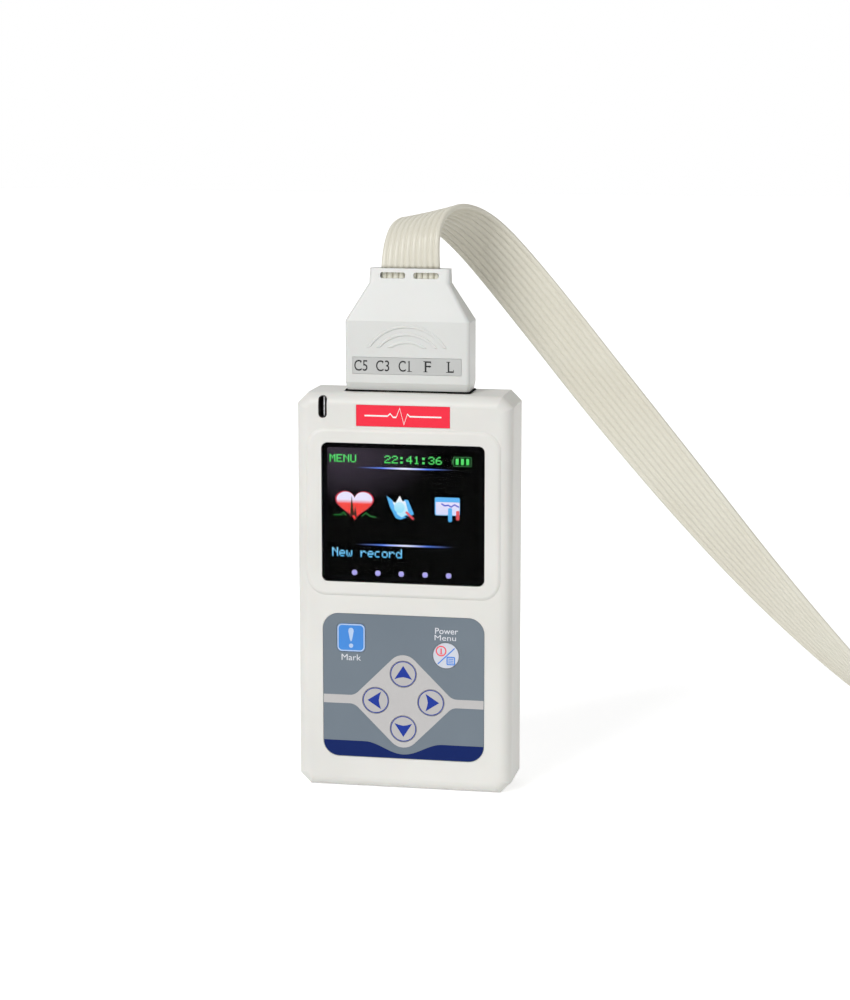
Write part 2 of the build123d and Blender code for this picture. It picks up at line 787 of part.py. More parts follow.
# Cells, springs and contact plates. The left cell points up and the right cell points down.
cells, springs, plates = [], [], []
for side in (-1, 1):
    x = side * cell_x
    at = Pos(x, cell_y)
    if side < 0:
        low = bay_bottom + contact_thickness + spring_length
        body_span, nub_span = (low, low + cell_length), (low + cell_length, low + cell_length + cell_nub_height)
        spring_span = (bay_bottom + contact_thickness, low)
        base, tip = spring_base_radius, spring_tip_radius
        plate_z = (bay_bottom, bay_bottom + contact_thickness)
    else:
        low = bay_bottom + cell_nub_height
        body_span, nub_span = (low, low + cell_length), (bay_bottom, low)
        spring_span = (low + cell_length, low + cell_length + spring_length)
        base, tip = spring_tip_radius, spring_base_radius
        plate_z = (bay_top - contact_thickness, bay_top)
    cell = along_z(at * Circle(cell_radius), *body_span)
    cells.append(single(cell + along_z(at * Circle(cell_nub_radius), *nub_span)))
    low_ring, high_ring = (Plane.XY.offset(z) * at for z in spring_span)
    springs.append(single(loft([low_ring * Circle(base), high_ring * Circle(tip)])))
    plates.append(
        block(
            (x - contact_width / 2, x + contact_width / 2),
            (cell_y - contact_height / 2, cell_y + contact_height / 2),
            plate_z,
        )
    )
keep("battery_cells", *cells)
keep("battery_springs", *springs)
keep("battery_contacts", *plates)

# Cable socket: a metal shell with a flange, an insulator with holes, and the contact tails.
socket_top = case_height - socket_top_gap
flange_top = socket_top - socket_mating_height
flange_bottom = flange_top - socket_flange_height
socket_form = d_outline(socket_width, socket_depth, socket_corner_radius)
socket_bore = d_outline(
    socket_width - 2 * socket_shell_wall,
    socket_depth - 2 * socket_shell_wall,
    socket_corner_radius - socket_shell_wall,
)
flange = Pos(0, plug_y) * Rectangle(socket_flange_width, socket_flange_depth)
socket_shell = along_z(flange, flange_bottom, flange_top) + along_z(socket_form, flange_top, socket_top)
socket_shell -= along_z(socket_bore, flange_bottom - overrun, socket_top + overrun)
keep("socket_shell", single(socket_shell))
core_inset = socket_shell_wall + socket_core_gap
core_top = socket_top - socket_core_setback
core_form = d_outline(
    socket_width - 2 * core_inset, socket_depth - 2 * core_inset, socket_corner_radius - core_inset
)
socket_core = along_z(core_form, flange_bottom, core_top)
for x, y in pin_places():
    hole = Pos(x, plug_y + y) * Circle(contact_hole_radius)
    socket_core -= along_z(hole, core_top - contact_hole_depth, core_top + overrun)
keep("socket_core", single(socket_core))
tails = []
for x, y in pin_places():
    drop = tail_length + (tail_row_step if y > 0 else 0)
    across = (x - tail_side / 2, x + tail_side / 2)
    y_centre = plug_y + y
    upright = block(across, (y_centre - tail_side / 2, y_centre + tail_side / 2), (flange_bottom - drop, flange_bottom))
    foot = block(across, (board_back_y, y_centre), (flange_bottom - drop, flange_bottom - drop + tail_side))
    tails.append(single(upright + foot))
keep("socket_contacts", *tails)

# Plug hood in two halves, with its sloped shoulders, thin neck and open foot.
plug_bottom = case_height + plug_seat_gap
shoulder_z = plug_bottom + plug_shoulder_height
neck_z = plug_bottom + plug_neck_start
plug_top = plug_bottom + plug_height


def hood_size(z):
    """Width and depth of the hood at a height."""
    foot = max(plug_bottom + plug_foot_rise - z, 0) / plug_foot_rise
    side = min(max(z - shoulder_z, 0) / (neck_z - shoulder_z), 1)
    lean = max(z - shoulder_z, 0) / (plug_top - shoulder_z)
    width = plug_width - 2 * plug_foot_side_inset * foot - (plug_width - plug_neck_width) * side
    depth = plug_depth - 2 * plug_foot_inset * foot - (plug_depth - plug_top_depth) * lean
    return width, depth


def hood_form(inset, corner, levels):
    """Form of the hood through its outlines at some heights, taken in on all sides."""
    outlines = []
    for z in levels:
        width, depth = hood_size(z)
        outline = RectangleRounded(width - 2 * inset, depth - 2 * inset, corner)
        outlines.append(Plane.XY.offset(z) * Pos(0, plug_y) * outline)
    return loft(outlines, ruled=True)


foot_z = plug_bottom + plug_foot_rise
hood = hood_form(0, plug_edge_radius, (plug_bottom, foot_z, shoulder_z, neck_z, plug_top))
hood -= hood_form(
    plug_wall, plug_cavity_corner_radius, (plug_bottom + plug_floor, foot_z, shoulder_z, plug_top - plug_cavity_top_gap)
)
hood_opening = d_outline(
    plug_shell_width + 2 * plug_opening_gap,
    plug_shell_depth + 2 * plug_opening_gap,
    socket_corner_radius + plug_opening_gap,
)
hood -= along_z(hood_opening, plug_bottom - overrun, plug_bottom + plug_floor + overrun)
ribbon_slot = Pos(0, plug_y) * Rectangle(ribbon_width + 2 * ribbon_gap, lead_diameter + 2 * ribbon_gap)
hood -= along_z(ribbon_slot, plug_top - plug_cavity_top_gap - overrun, plug_top + overrun)

# Columns for the two screws, which go in from the back.
plug_screw_places = [
    (side * (plug_width / 2 - plug_screw_inset), plug_bottom + plug_screw_rise) for side in (-1, 1)
]
plug_front_y = plug_y - plug_depth / 2
plug_rear_y = plug_y + plug_depth / 2
for x, z in plug_screw_places:
    column = Pos(x, z) * Circle(plug_boss_radius)
    hood += along_y(column, plug_front_y + plug_wall / 2, plug_rear_y - plug_wall / 2)
for x, z in plug_screw_places:
    hole = Circle(plug_screw_radius + screw_gap)
    seat_y = plug_rear_y - plug_screw_seat
    hood -= along_y(Pos(x, z) * hole, seat_y - plug_screw_length - fit_gap, plug_rear_y + overrun)
    seat = Circle(plug_screw_head_radius + screw_head_gap)
    hood -= along_y(Pos(x, z) * seat, seat_y, plug_rear_y + overrun)

# Seats of the two labels.
label_z = plug_bottom + plug_label_rise + plug_label_height / 2
label_seat = Rectangle(plug_label_width + 2 * fit_gap, plug_label_height + 2 * fit_gap)
label_depth = plug_label_thickness + label_sink
hood -= along_y(Pos(0, label_z) * label_seat, plug_front_y - overrun, plug_front_y + label_depth)
hood -= along_y(Pos(0, label_z) * label_seat, plug_rear_y - label_depth, plug_rear_y + overrun)

# Three raised grip arcs on the front, one above the other.
arc_floor_z = plug_bottom + arc_base_rise
for radius in arc_radii:
    arc = Circle(radius) - Circle(radius - arc_width)
    arc = Pos(0, plug_bottom + arc_centre_rise) * arc
    arc &= Pos(0, arc_floor_z + radius) * Rectangle(4 * radius, 2 * radius)
    ridge = along_y(arc, plug_front_y - arc_rise, plug_front_y + arc_root)
    hood += fillet(nearest_face(ridge, Axis.Y, False).edges(), arc_edge_radius)

# Two windows in the neck show the leads.
wire_window_z = plug_top - wire_window_top_gap - wire_window_height / 2
for side in (-1, 1):
    x = side * (wire_window_inset + wire_window_width / 2)
    gap = RectangleRounded(wire_window_width, wire_window_height, wire_window_corner_radius)
    hood -= along_y(Pos(x, wire_window_z) * gap, plug_front_y - overrun, plug_y)

reach_plug_z = (0, 2 * plug_top)
keep("plug_front_hood", single(hood & block(reach_x, (plug_y - plug_depth, plug_y), reach_plug_z)))
keep("plug_rear_hood", single(hood & block(reach_x, (plug_y, plug_y + plug_depth), reach_plug_z)))
keep(
    "plug_screws",
    *[
        screw(
            x, z, plug_rear_y - plug_screw_seat, plug_screw_head_radius, plug_screw_head_height,
            plug_screw_radius, plug_screw_length,
        )
        for x, z in plug_screw_places
    ],
)
label = Rectangle(plug_label_width, plug_label_height)
label_front = plug_front_y + label_sink
label_rear = plug_rear_y - label_sink
keep("plug_front_label", single(along_y(Pos(0, label_z) * label, label_front, label_front + plug_label_thickness)))
keep("plug_rear_label", single(along_y(Pos(0, label_z) * label, label_rear - plug_label_thickness, label_rear)))

# Plug connector: metal shell, insulator and pins.
shell_low = plug_bottom - plug_shell_reach
shell_high = plug_bottom + plug_shell_rise
plug_shell_form = d_outline(plug_shell_width, plug_shell_depth, socket_corner_radius)
bore_inset = 2 * plug_shell_wall
plug_shell_bore = d_outline(
    plug_shell_width - bore_inset, plug_shell_depth - bore_inset, socket_corner_radius - plug_shell_wall
)
plug_shell = along_z(plug_shell_form, shell_low, shell_high)
plug_shell -= along_z(plug_shell_bore, shell_low - overrun, shell_high + overrun)
keep("plug_shell", single(plug_shell))
core_inset = bore_inset + 2 * socket_core_gap
plug_core_form = d_outline(
    plug_shell_width - core_inset, plug_shell_depth - core_inset, socket_corner_radius - plug_shell_wall
)
plug_core_low = shell_high - plug_core_height + plug_floor
plug_core_high = plug_core_low + plug_core_height
plug_core = along_z(plug_core_form, plug_core_low, plug_core_high)
pins = []
for x, y in pin_places():
    place = Pos(x, plug_y + y)
    plug_core -= along_z(place * Circle(pin_radius), plug_core_low - overrun, plug_core_high + overrun)
    pins.append(single(along_z(place * Circle(pin_radius), plug_bottom - pin_reach, plug_core_high + pin_tail)))
keep("plug_core", single(plug_core))
keep("plug_pins", *pins)

# The ribbon inside the plug, from the pins to the neck, and the two bars that clamp it.
tail_low = plug_core_high + pin_tail
ribbon_section = Pos(0, plug_y) * Rectangle(ribbon_width, lead_diameter)
keep("plug_wires", single(along_z(ribbon_section, tail_low, plug_top)))
clamp_top = plug_top - clamp_top_gap
clamps = []
for side in (-1, 1):
    near, far = plug_y + side * lead_diameter / 2, plug_y + side * (lead_diameter / 2 + clamp_thickness)
    clamps.append(
        block((-clamp_width / 2, clamp_width / 2), (min(near, far), max(near, far)), (clamp_top - clamp_height, clamp_top))
    )
keep("cable_clamps", *clamps)

# Route of the ribbon from the neck of the plug, over a loop and down to the right.
# Each row is a place, then the direction across the ribbon from its left edge to its right edge.
ribbon_route = [
    ((0, 0.75, 149.3), (1, 0, 0)),
    ((0, 0.75, 156.7), (0.96, -0.26, 0)),
    ((1.0, 7.5, 162.9), (0.93, -0.34, 0.11)),
    ((4.6, 16.5, 164.2), (0.88, -0.38, 0.28)),
    ((9.0, 25.5, 161.6), (0.84, -0.33, 0.42)),
    ((14.5, 32.0, 156.0), (0.79, -0.22, 0.57)),
    ((22.0, 34.8, 147.2), (0.77, -0.08, 0.64)),
    ((34.0, 33.5, 133.3), (0.77, 0.08, 0.64)),
    ((52.0, 29.8, 112.0), (0.76, 0, 0.65)),
    ((75.0, 28.2, 85.0), (0.73, -0.25, 0.63)),
    ((99.0, 28.5, 57.5), (0.60, -0.55, 0.55)),
    ((122.0, 29.5, 34.0), (0.42, -0.78, 0.42)),
    ((141.0, 31.0, 16.8), (0.22, -0.93, 0.22)),
    ((156.0, 32.6, 6.0), (0.05, -1, 0.05)),
    ((170.0, 34.0, 2.65), (0, -1, 0)),
    ((182.0, 34.0, 2.65), (0, -1, 0)),
]


def corner_radii(points):
    """Radius of the arc at each corner of a route: 0.45 of the shorter run over the tangent of half the turn."""
    share = 0.45
    radii = []
    for before, at, after in zip(points, points[1:], points[2:]):
        run_in, run_out = Vector(*at) - Vector(*before), Vector(*after) - Vector(*at)
        turn = math.radians(run_in.get_angle(run_out))
        radii.append(share * min(run_in.length, run_out.length) / math.tan(turn / 2))
    return radii


def tube(points, diameter):
    """Round tube along straight runs joined by tangent arcs."""
    radii = corner_radii(points)
    print("tube of", diameter, "mm, radii", [round(r, 1) for r in radii])
    path = FilletPolyline(*points, radius=radii)
    face = Plane(origin=path @ 0, z_dir=path % 0) * Circle(diameter / 2)
    solid = sweep(face, path=path)
    print("tube volume over section times length", round(solid.volume / (face.area * path.length), 4))
    return single(solid)


def ribbon_band():
    """Flat band through cross sections that turn with the route."""
    arc_steps = 4
    points = [Vector(*place) for place, _ in ribbon_route]
    across = [Vector(*direction) for _, direction in ribbon_route]
    radii = corner_radii([tuple(p) for p in points])
    print("ribbon radii", [round(r, 1) for r in radii])
    stations = [(points[0], (points[1] - points[0]).normalized(), across[0])]
    for i, radius in enumerate(radii):
        run_in = (points[i + 1] - points[i]).normalized()
        run_out = (points[i + 2] - points[i + 1]).normalized()
        turn = math.radians(run_in.get_angle(run_out))
        reach = radius * math.tan(turn / 2)
        start = points[i + 1] - run_in * reach
        inward = (run_out - run_in * math.cos(turn)).normalized()
        for step in range(arc_steps + 1):
            angle = turn * step / arc_steps
            place = start + run_in * (radius * math.sin(angle)) + inward * (radius * (1 - math.cos(angle)))
            heading = run_in * math.cos(angle) + inward * math.sin(angle)
            side = step / arc_steps - 0.5
            other = across[i + 2] if side > 0 else across[i]
            share = abs(side) * reach / (points[i + 1] - points[i + 2 if side > 0 else i]).length
            stations.append((place, heading, across[i + 1] * (1 - share * 2) + other * share * 2))
    stations.append((points[-1], (points[-1] - points[-2]).normalized(), across[-1]))
    sections = [
        Plane(origin=place, x_dir=wide - heading * wide.dot(heading), z_dir=heading)
        * Rectangle(ribbon_width, lead_diameter)
        for place, heading, wide in stations
    ]
    return single(loft(sections, ruled=True))


keep("ribbon_cable", ribbon_band())

# Splitter: a wedge where the ribbon parts into ten loose leads.
splitter_x, ribbon_end_y, ribbon_end_z = ribbon_route[-1][0]
splitter_end_x = splitter_x + splitter_length
bundle_z = splitter_bundle_height / 2 + floor_clearance


def wedge(start, heading, length, start_size, end_size):
    """Wedge that stands on the surface, from a place along a heading in degrees, between two end sizes."""
    ahead = Vector(math.cos(math.radians(heading)), math.sin(math.radians(heading)), 0)
    ends = []
    for reach, (width, height) in ((0, start_size), (length, end_size)):
        place = Vector(start[0], start[1], height / 2 + floor_clearance) + ahead * reach
        plane = Plane(origin=place, x_dir=(-ahead.Y, ahead.X, 0), z_dir=ahead)
        ends.append(plane * RectangleRounded(width, height, splitter_corner_radius))
    return single(loft(ends, ruled=True))


splitter = wedge(
    (splitter_x, ribbon_end_y), 0, splitter_length,
    (splitter_ribbon_width, splitter_ribbon_height),
    (splitter_bundle_width, splitter_bundle_height),
)
keep("lead_splitter", splitter)

# Coil of the ten leads: an outer turn on the surface that spirals in, climbs on itself and spirals out.
coil_x = splitter_end_x + bundle_start
half_radii = (coil_radius, coil_radius - coil_step / 2, coil_radius - coil_step, coil_radius - coil_step / 2)
tilts = (0, 0, math.asin(coil_rise / 2 / (coil_radius - coil_step)), 0)


def half_turn(start, radius, heading, tilt):
    """Half a turn to the right of its heading, tilted so that it can climb."""
    ahead = Vector(heading, 0, 0)
    inward = Vector(0, -heading * math.cos(tilt), math.sin(tilt))
    middle = start + ahead * radius + inward * radius
    end = start + inward * (2 * radius)
    return ThreePointArc(start, middle, end), end


coil_start = Vector(coil_x, ribbon_end_y, bundle_z)
coil_pieces = [Line(coil_start - Vector(bundle_start, 0, 0), coil_start)]
place, heading = coil_start, 1
for radius, tilt in zip(half_radii, tilts):
    turn, place = half_turn(place, radius, heading, tilt)
    coil_pieces.append(turn)
    heading = -heading
coil_end = place + Vector(bundle_diameter, 0, 0)
coil_pieces.append(Line(place, coil_end))
coil_path = Wire([edge for piece in coil_pieces for edge in piece.edges()])
coil_face = Plane(origin=coil_path @ 0, z_dir=coil_path % 0) * Circle(bundle_diameter / 2)
coil = sweep(coil_face, path=coil_path)
print("coil end", coil_end, "coil length", round(coil_path.length, 1))
print("coil volume over section times length", round(coil.volume / (coil_face.area * coil_path.length), 4))
keep("lead_coil", single(coil))


def least_gap(path, diameter):
    """Least gap of a wound tube to itself, on points along it."""
    count = 300
    points = [path @ (i / count) for i in range(count + 1)]
    skip = int(math.ceil(2 * diameter * count / path.length))
    pairs = ((points[i] - points[j]).length for i in range(count + 1) for j in range(i + skip, count + 1))
    return min(pairs) - diameter


print("least gap of the coil to itself", round(least_gap(coil_path, bundle_diameter), 2))

# A hook-and-loop strap round the lower and upper strands of the coil.
low_strand = (coil_start.Y - 2 * coil_radius, bundle_z)
high_strand = (coil_end.Y - 2 * half_radii[-1], bundle_z + coil_rise)
strap_angle = math.degrees(math.atan2(high_strand[1] - low_strand[1], high_strand[0] - low_strand[0]))
strap_centre = Pos((low_strand[0] + high_strand[0]) / 2, (low_strand[1] + high_strand[1]) / 2)
strap_span = math.dist(low_strand, high_strand)
strap_inner, strap_outer = (bundle_diameter / 2 + tie_gap, bundle_diameter / 2 + tie_gap + tie_thickness)
strap = SlotCenterToCenter(strap_span, 2 * strap_outer) - SlotCenterToCenter(strap_span, 2 * strap_inner)
strap = strap_centre * (Rot(0, 0, strap_angle) * strap)
keep("coil_strap", single(along_x(strap, coil_x - tie_width / 2, coil_x + tie_width / 2)))

# The bundle leaves the top of the coil and comes down to the organiser.
bundle_route = [
    (226.6, 34.505, 12.25),
    (236.5, 34.505, 12.25),
    (250.0, 37.0, 8.0),
    (263.5, 37.0, 4.25),
    (275.0, 30.36, 4.25),
]
keep("lead_bundle", tube(bundle_route, bundle_diameter))

# Organiser: the leads leave it side by side.
organiser = wedge(
    bundle_route[-1][:2], organiser_angle, organiser_length,
    (splitter_bundle_width, splitter_bundle_height),
    (organiser_width, organiser_height),
)
keep("lead_organiser", organiser)

# Ten leads fan out on the surface, each to its snap. Each row is one lead's route and its snap's angle.
lead_routes = {
    "lead_r": (14.0, [
        (293.62, 30.52, 2.05),
        (297.95, 28.02, 2.05),
        (310.35, 29.35, 0.9),
        (321.80, 30.57, 2.35),
        (325.68, 31.54, 2.35),
    ]),
    "lead_l": (4.5, [
        (292.57, 28.70, 2.05),
        (296.90, 26.20, 2.05),
        (318.87, 26.26, 0.9),
        (339.15, 26.32, 2.35),
        (343.14, 26.63, 2.35),
    ]),
    "lead_f": (-5.0, [
        (291.52, 26.88, 2.05),
        (295.85, 24.38, 2.05),
        (309.80, 21.79, 0.9),
        (322.68, 19.40, 2.35),
        (326.66, 19.05, 2.35),
    ]),
    "lead_n": (-14.5, [
        (290.47, 25.06, 2.05),
        (294.80, 22.56, 2.05),
        (317.11, 15.89, 0.9),
        (337.70, 9.73, 2.35),
        (341.57, 8.73, 2.35),
    ]),
    "lead_c1": (-24.0, [
        (289.42, 23.24, 2.05),
        (293.75, 20.74, 2.05),
        (307.34, 14.40, 0.9),
        (319.87, 8.55, 2.35),
        (323.53, 6.92, 2.35),
    ]),
    "lead_c2": (-33.5, [
        (288.37, 21.43, 2.05),
        (292.70, 18.93, 2.05),
        (312.58, 6.23, 0.9),
        (330.93, -5.49, 2.35),
        (334.26, -7.69, 2.35),
    ]),
    "lead_c3": (-43.0, [
        (287.32, 19.61, 2.05),
        (291.65, 17.11, 2.05),
        (303.11, 7.80, 0.9),
        (313.69, -0.79, 2.35),
        (316.61, -3.52, 2.35),
    ]),
    "lead_c4": (-52.5, [
        (286.27, 17.79, 2.05),
        (290.60, 15.29, 2.05),
        (305.67, -1.85, 0.9),
        (319.57, -17.66, 2.35),
        (322.00, -20.84, 2.35),
    ]),
    "lead_c5": (-62.0, [
        (285.22, 15.97, 2.05),
        (289.55, 13.47, 2.05),
        (297.48, 2.51, 0.9),
        (304.79, -7.62, 2.35),
        (306.67, -11.15, 2.35),
    ]),
    "lead_c6": (-71.5, [
        (284.17, 14.15, 2.05),
        (288.50, 11.65, 2.05),
        (297.01, -7.66, 0.9),
        (304.86, -25.48, 2.35),
        (306.13, -29.28, 2.35),
    ]),
}
snap_reach = snap_radius + snap_tail_length
snap_entry_height = snap_tail_height / 2 + floor_clearance
housings, rings = [], []
for name, (angle, route) in lead_routes.items():
    keep(name, tube(route, lead_diameter))
    ahead = Vector(math.cos(math.radians(angle)), math.sin(math.radians(angle)), 0)
    entry = Vector(*route[-1]) + ahead * floor_clearance
    centre = entry + ahead * snap_reach
    at = Pos(centre.X, centre.Y)
    housing = along_z(at * Circle(snap_radius), floor_clearance, floor_clearance + snap_height)
    housing = fillet(nearest_face(housing, Axis.Z, True).edges(), snap_edge_radius)
    ends = []
    for reach, width in ((0, snap_tail_end), (snap_reach, snap_tail_start)):
        place = Vector(entry.X, entry.Y, snap_entry_height) + ahead * reach
        plane = Plane(origin=place, x_dir=(-ahead.Y, ahead.X, 0), z_dir=ahead)
        ends.append(plane * RectangleRounded(width, snap_tail_height, snap_edge_radius))
    housing += loft(ends, ruled=True)
    housing -= along_z(at * Circle(snap_bore_radius), floor_clearance - overrun, floor_clearance + snap_bore_depth)
    housings.append(single(housing))
    ring = Circle(snap_bore_radius - snap_ring_gap) - Circle(snap_bore_radius - snap_ring_gap - snap_ring_wall)
    ring_top = floor_clearance + snap_bore_depth
    rings.append(single(along_z(at * ring, ring_top - snap_ring_height, ring_top)))
keep("snap_housings", *housings)
keep("snap_rings", *rings)

for name, shape in nodes.items():
    shape.label = name
    export_step(shape, "parts/" + name + ".step")
print(len(nodes), "nodes")
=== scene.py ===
import math

import bmesh
import bpy
from mathutils import Matrix, Vector


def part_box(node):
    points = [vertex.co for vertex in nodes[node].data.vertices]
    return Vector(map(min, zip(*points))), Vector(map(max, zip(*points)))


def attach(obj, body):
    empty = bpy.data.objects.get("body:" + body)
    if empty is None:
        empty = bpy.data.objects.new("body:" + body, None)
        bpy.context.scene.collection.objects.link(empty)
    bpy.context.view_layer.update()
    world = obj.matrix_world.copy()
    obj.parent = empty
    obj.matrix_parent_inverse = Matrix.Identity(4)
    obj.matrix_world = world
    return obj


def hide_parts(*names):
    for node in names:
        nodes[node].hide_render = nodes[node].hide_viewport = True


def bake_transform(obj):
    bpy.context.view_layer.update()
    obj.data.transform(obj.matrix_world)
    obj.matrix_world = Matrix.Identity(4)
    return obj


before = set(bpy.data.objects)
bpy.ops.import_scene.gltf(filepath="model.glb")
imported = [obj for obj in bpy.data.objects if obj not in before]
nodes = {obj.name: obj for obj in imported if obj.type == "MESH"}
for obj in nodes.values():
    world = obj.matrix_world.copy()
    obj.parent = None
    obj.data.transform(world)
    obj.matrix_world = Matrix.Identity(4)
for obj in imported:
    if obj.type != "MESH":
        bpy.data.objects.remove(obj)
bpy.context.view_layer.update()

# A pocket heart recorder that stands on its bottom end, with its patient cable plugged into the top.
# Sizes and flat drawings are in millimetres, which mm turns into metres.
# Places given straight to Blender are in metres.
mm = 0.001


# Case: two shells of moulded ABS, warm off-white, closed by four screws from the back.
# The mould was spark eroded, which leaves a fine, even grain and a satin shine.
def hex_colour(code):
    """Linear colour of an sRGB hex code."""
    parts = [int(code[i:i + 2], 16) / 255 for i in (1, 3, 5)]
    return (*[p / 12.92 if p <= 0.04045 else ((p + 0.055) / 1.055) ** 2.4 for p in parts], 1.0)


def add(tree, kind, settings=None, links=None):
    """Adds a node, sets its properties or inputs, and links its inputs to other nodes' outputs."""
    made = tree.nodes.new(kind)
    for key, value in (settings or {}).items():
        if isinstance(key, str) and hasattr(made, key):
            setattr(made, key, value)
        else:
            made.inputs[key].default_value = value
    for key, source in (links or {}).items():
        tree.links.new(source, made.inputs[key])
    return made


def new_finish(name, **sockets):
    """A new material and its shader, with these sockets set on the shader itself."""
    material = bpy.data.materials.new(name)
    material.use_nodes = True
    shader = material.node_tree.nodes["Principled BSDF"]
    for socket, value in sockets.items():
        shader.inputs[socket.replace("_", " ")].default_value = value
    return material, material.node_tree, shader


def own_place(tree):
    """The place on the object itself, which its patterns follow."""
    return add(tree, "ShaderNodeTexCoord").outputs["Object"]


def vary_shine(tree, shader, vector, size_mm, low, high, detail=2.0):
    """Lets the roughness run between two values over marks of a size, and gives back the marks."""
    marks = add(
        tree, "ShaderNodeTexNoise", {"Scale": 1 / (size_mm * mm), "Detail": detail}, {"Vector": vector}
    )
    dull = add(tree, "ShaderNodeMapRange", {"To Min": low, "To Max": high}, {"Value": marks.outputs["Fac"]})
    tree.links.new(dull.outputs["Result"], shader.inputs["Roughness"])
    return marks.outputs["Fac"]


def blend_colours(tree, share, low, high, sockets, ends=(0.0, 1.0)):
    """Runs sockets of a shader from one colour to another as a share grows between two ends."""
    tint = add(tree, "ShaderNodeValToRGB", links={"Fac": share})
    for stop, code, at in zip(tint.color_ramp.elements, (low, high), ends):
        stop.position = at
        stop.color = hex_colour(code)
    for socket in sockets:
        tree.links.new(tint.outputs["Color"], socket)
    return tint.color_ramp


def along_height(tree, place, low_mm, high_mm):
    """Share of the way up between two heights."""
    split = add(tree, "ShaderNodeSeparateXYZ", links={"Vector": place})
    span = {"From Min": low_mm * mm, "From Max": high_mm * mm}
    return add(tree, "ShaderNodeMapRange", span, {"Value": split.outputs["Z"]}).outputs["Result"]


def emboss(tree, shader, height, strength, depth_mm):
    """Raises the surface by a pattern, to a depth."""
    size = {"Strength": strength, "Distance": depth_mm * mm}
    relief = add(tree, "ShaderNodeBump", size, {"Height": height})
    tree.links.new(relief.outputs["Normal"], shader.inputs["Normal"])


def moulded_plastic(name, colour, shade, roughness, grain_mm, grain_strength=0.25, patch_mm=30.0, **sockets):
    """Moulded plastic: an even colour that drifts a little over centimetres, with a fine grain."""
    grain_depth_mm = 0.02
    material, tree, shader = new_finish(name, **sockets)
    place = own_place(tree)
    drift = add(tree, "ShaderNodeTexNoise", {"Scale": 1 / (patch_mm * mm), "Detail": 3.0}, {"Vector": place})
    blend_colours(tree, drift.outputs["Fac"], shade, colour, [shader.inputs["Base Color"]], (0.35, 0.65))
    grain = vary_shine(tree, shader, place, grain_mm, roughness - 0.05, roughness + 0.07)
    emboss(tree, shader, grain, grain_strength, grain_depth_mm)
    return material


def dress(names, material):
    """Gives one or more pieces of the frame their finish."""
    for name in names.split():
        piece = nodes[name]
        piece.data.materials.clear()
        piece.data.materials.append(material)


case_abs = moulded_plastic(
    "case_abs_satin", "#e6e5e0", "#e0dfda", 0.42, 0.35, Subsurface_Weight=0.06, Subsurface_Scale=0.6 * mm
)
dress("front_shell rear_shell", case_abs)


# Screws: zinc-plated steel with pan heads and a cross recess, driven from the back.
# Zinc is pale and slightly blue, and its plating is a little cloudy.
def worked_metal(name, colour, stain, roughness, grain_mm, stretch=(1, 1, 1)):
    """Bare or plated metal: a cloudy tint, and fine marks drawn out along one direction."""
    marks_depth_mm = 0.01
    material, tree, shader = new_finish(name, Metallic=1.0)
    place = own_place(tree)
    drawn = add(tree, "ShaderNodeMapping", {"Scale": stretch}, {"Vector": place})
    cloud_mm = 6 * grain_mm
    cloud = add(tree, "ShaderNodeTexNoise", {"Scale": 1 / (cloud_mm * mm), "Detail": 3.0}, {"Vector": place})
    blend_colours(tree, cloud.outputs["Fac"], stain, colour, [shader.inputs["Base Color"]], (0.4, 0.62))
    marks = vary_shine(
        tree, shader, drawn.outputs["Vector"], grain_mm, roughness - 0.08, roughness + 0.1, detail=4.0
    )
    emboss(tree, shader, marks, 0.2, marks_depth_mm)
    return material


zinc_plated_steel = worked_metal("zinc_plated_steel", "#c3c7cb", "#a9adb3", 0.32, 0.4)
dress("case_screws board_screws plug_screws", zinc_plated_steel)

# Battery door: a plate of the same ABS as the case, which turns on two pegs at its lower edge.
# It comes from the same mould, so it has the case's finish.
dress("battery_door", case_abs)

# Battery cells: two AAA cells with a printed film jacket over a steel can.
# The jacket is glossy and plain, with a lighter band at the nub end and no words.
cell_foot_mm, cell_top_mm = 18.0, 63.0
band_share = 0.86
cell_jacket, tree, shader = new_finish(
    "cell_printed_film", Metallic=0.35, Coat_Weight=0.6, Coat_Roughness=0.12
)
place = own_place(tree)
band = along_height(tree, place, cell_foot_mm, cell_top_mm)
ramp = blend_colours(tree, band, "#4c5866", "#b9bdc2", [shader.inputs["Base Color"]], (0.0, band_share))
ramp.interpolation = "CONSTANT"
vary_shine(tree, shader, place, 1.5, 0.22, 0.38, detail=4.0)
dress("battery_cells", cell_jacket)


# Battery springs: two cone springs wound from nickel-plated music wire, soldered to their contact plates.
# They are wound here from a spiral that takes the wire's size and the two end sizes.
def put_in(thing):
    """Puts an object in the scene, and gives it back."""
    bpy.context.scene.collection.objects.link(thing)
    return thing


def evaluated_mesh(made):
    """Plain mesh of a curve, of lettering or of grown geometry, whose object goes."""
    put_in(made)
    bpy.context.view_layer.update()
    mesh = bpy.data.meshes.new_from_object(made.evaluated_get(bpy.context.evaluated_depsgraph_get()))
    bpy.data.objects.remove(made)
    return mesh


def new_piece(name, mesh, material, body=None, smooth=True):
    """An object of one mesh at the origin, with its finish, riding on a body."""
    piece = put_in(bpy.data.objects.new(name, mesh))
    mesh.materials.clear()
    mesh.materials.append(material)
    for face in mesh.polygons:
        face.use_smooth = smooth
    if body:
        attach(piece, body)
    return piece


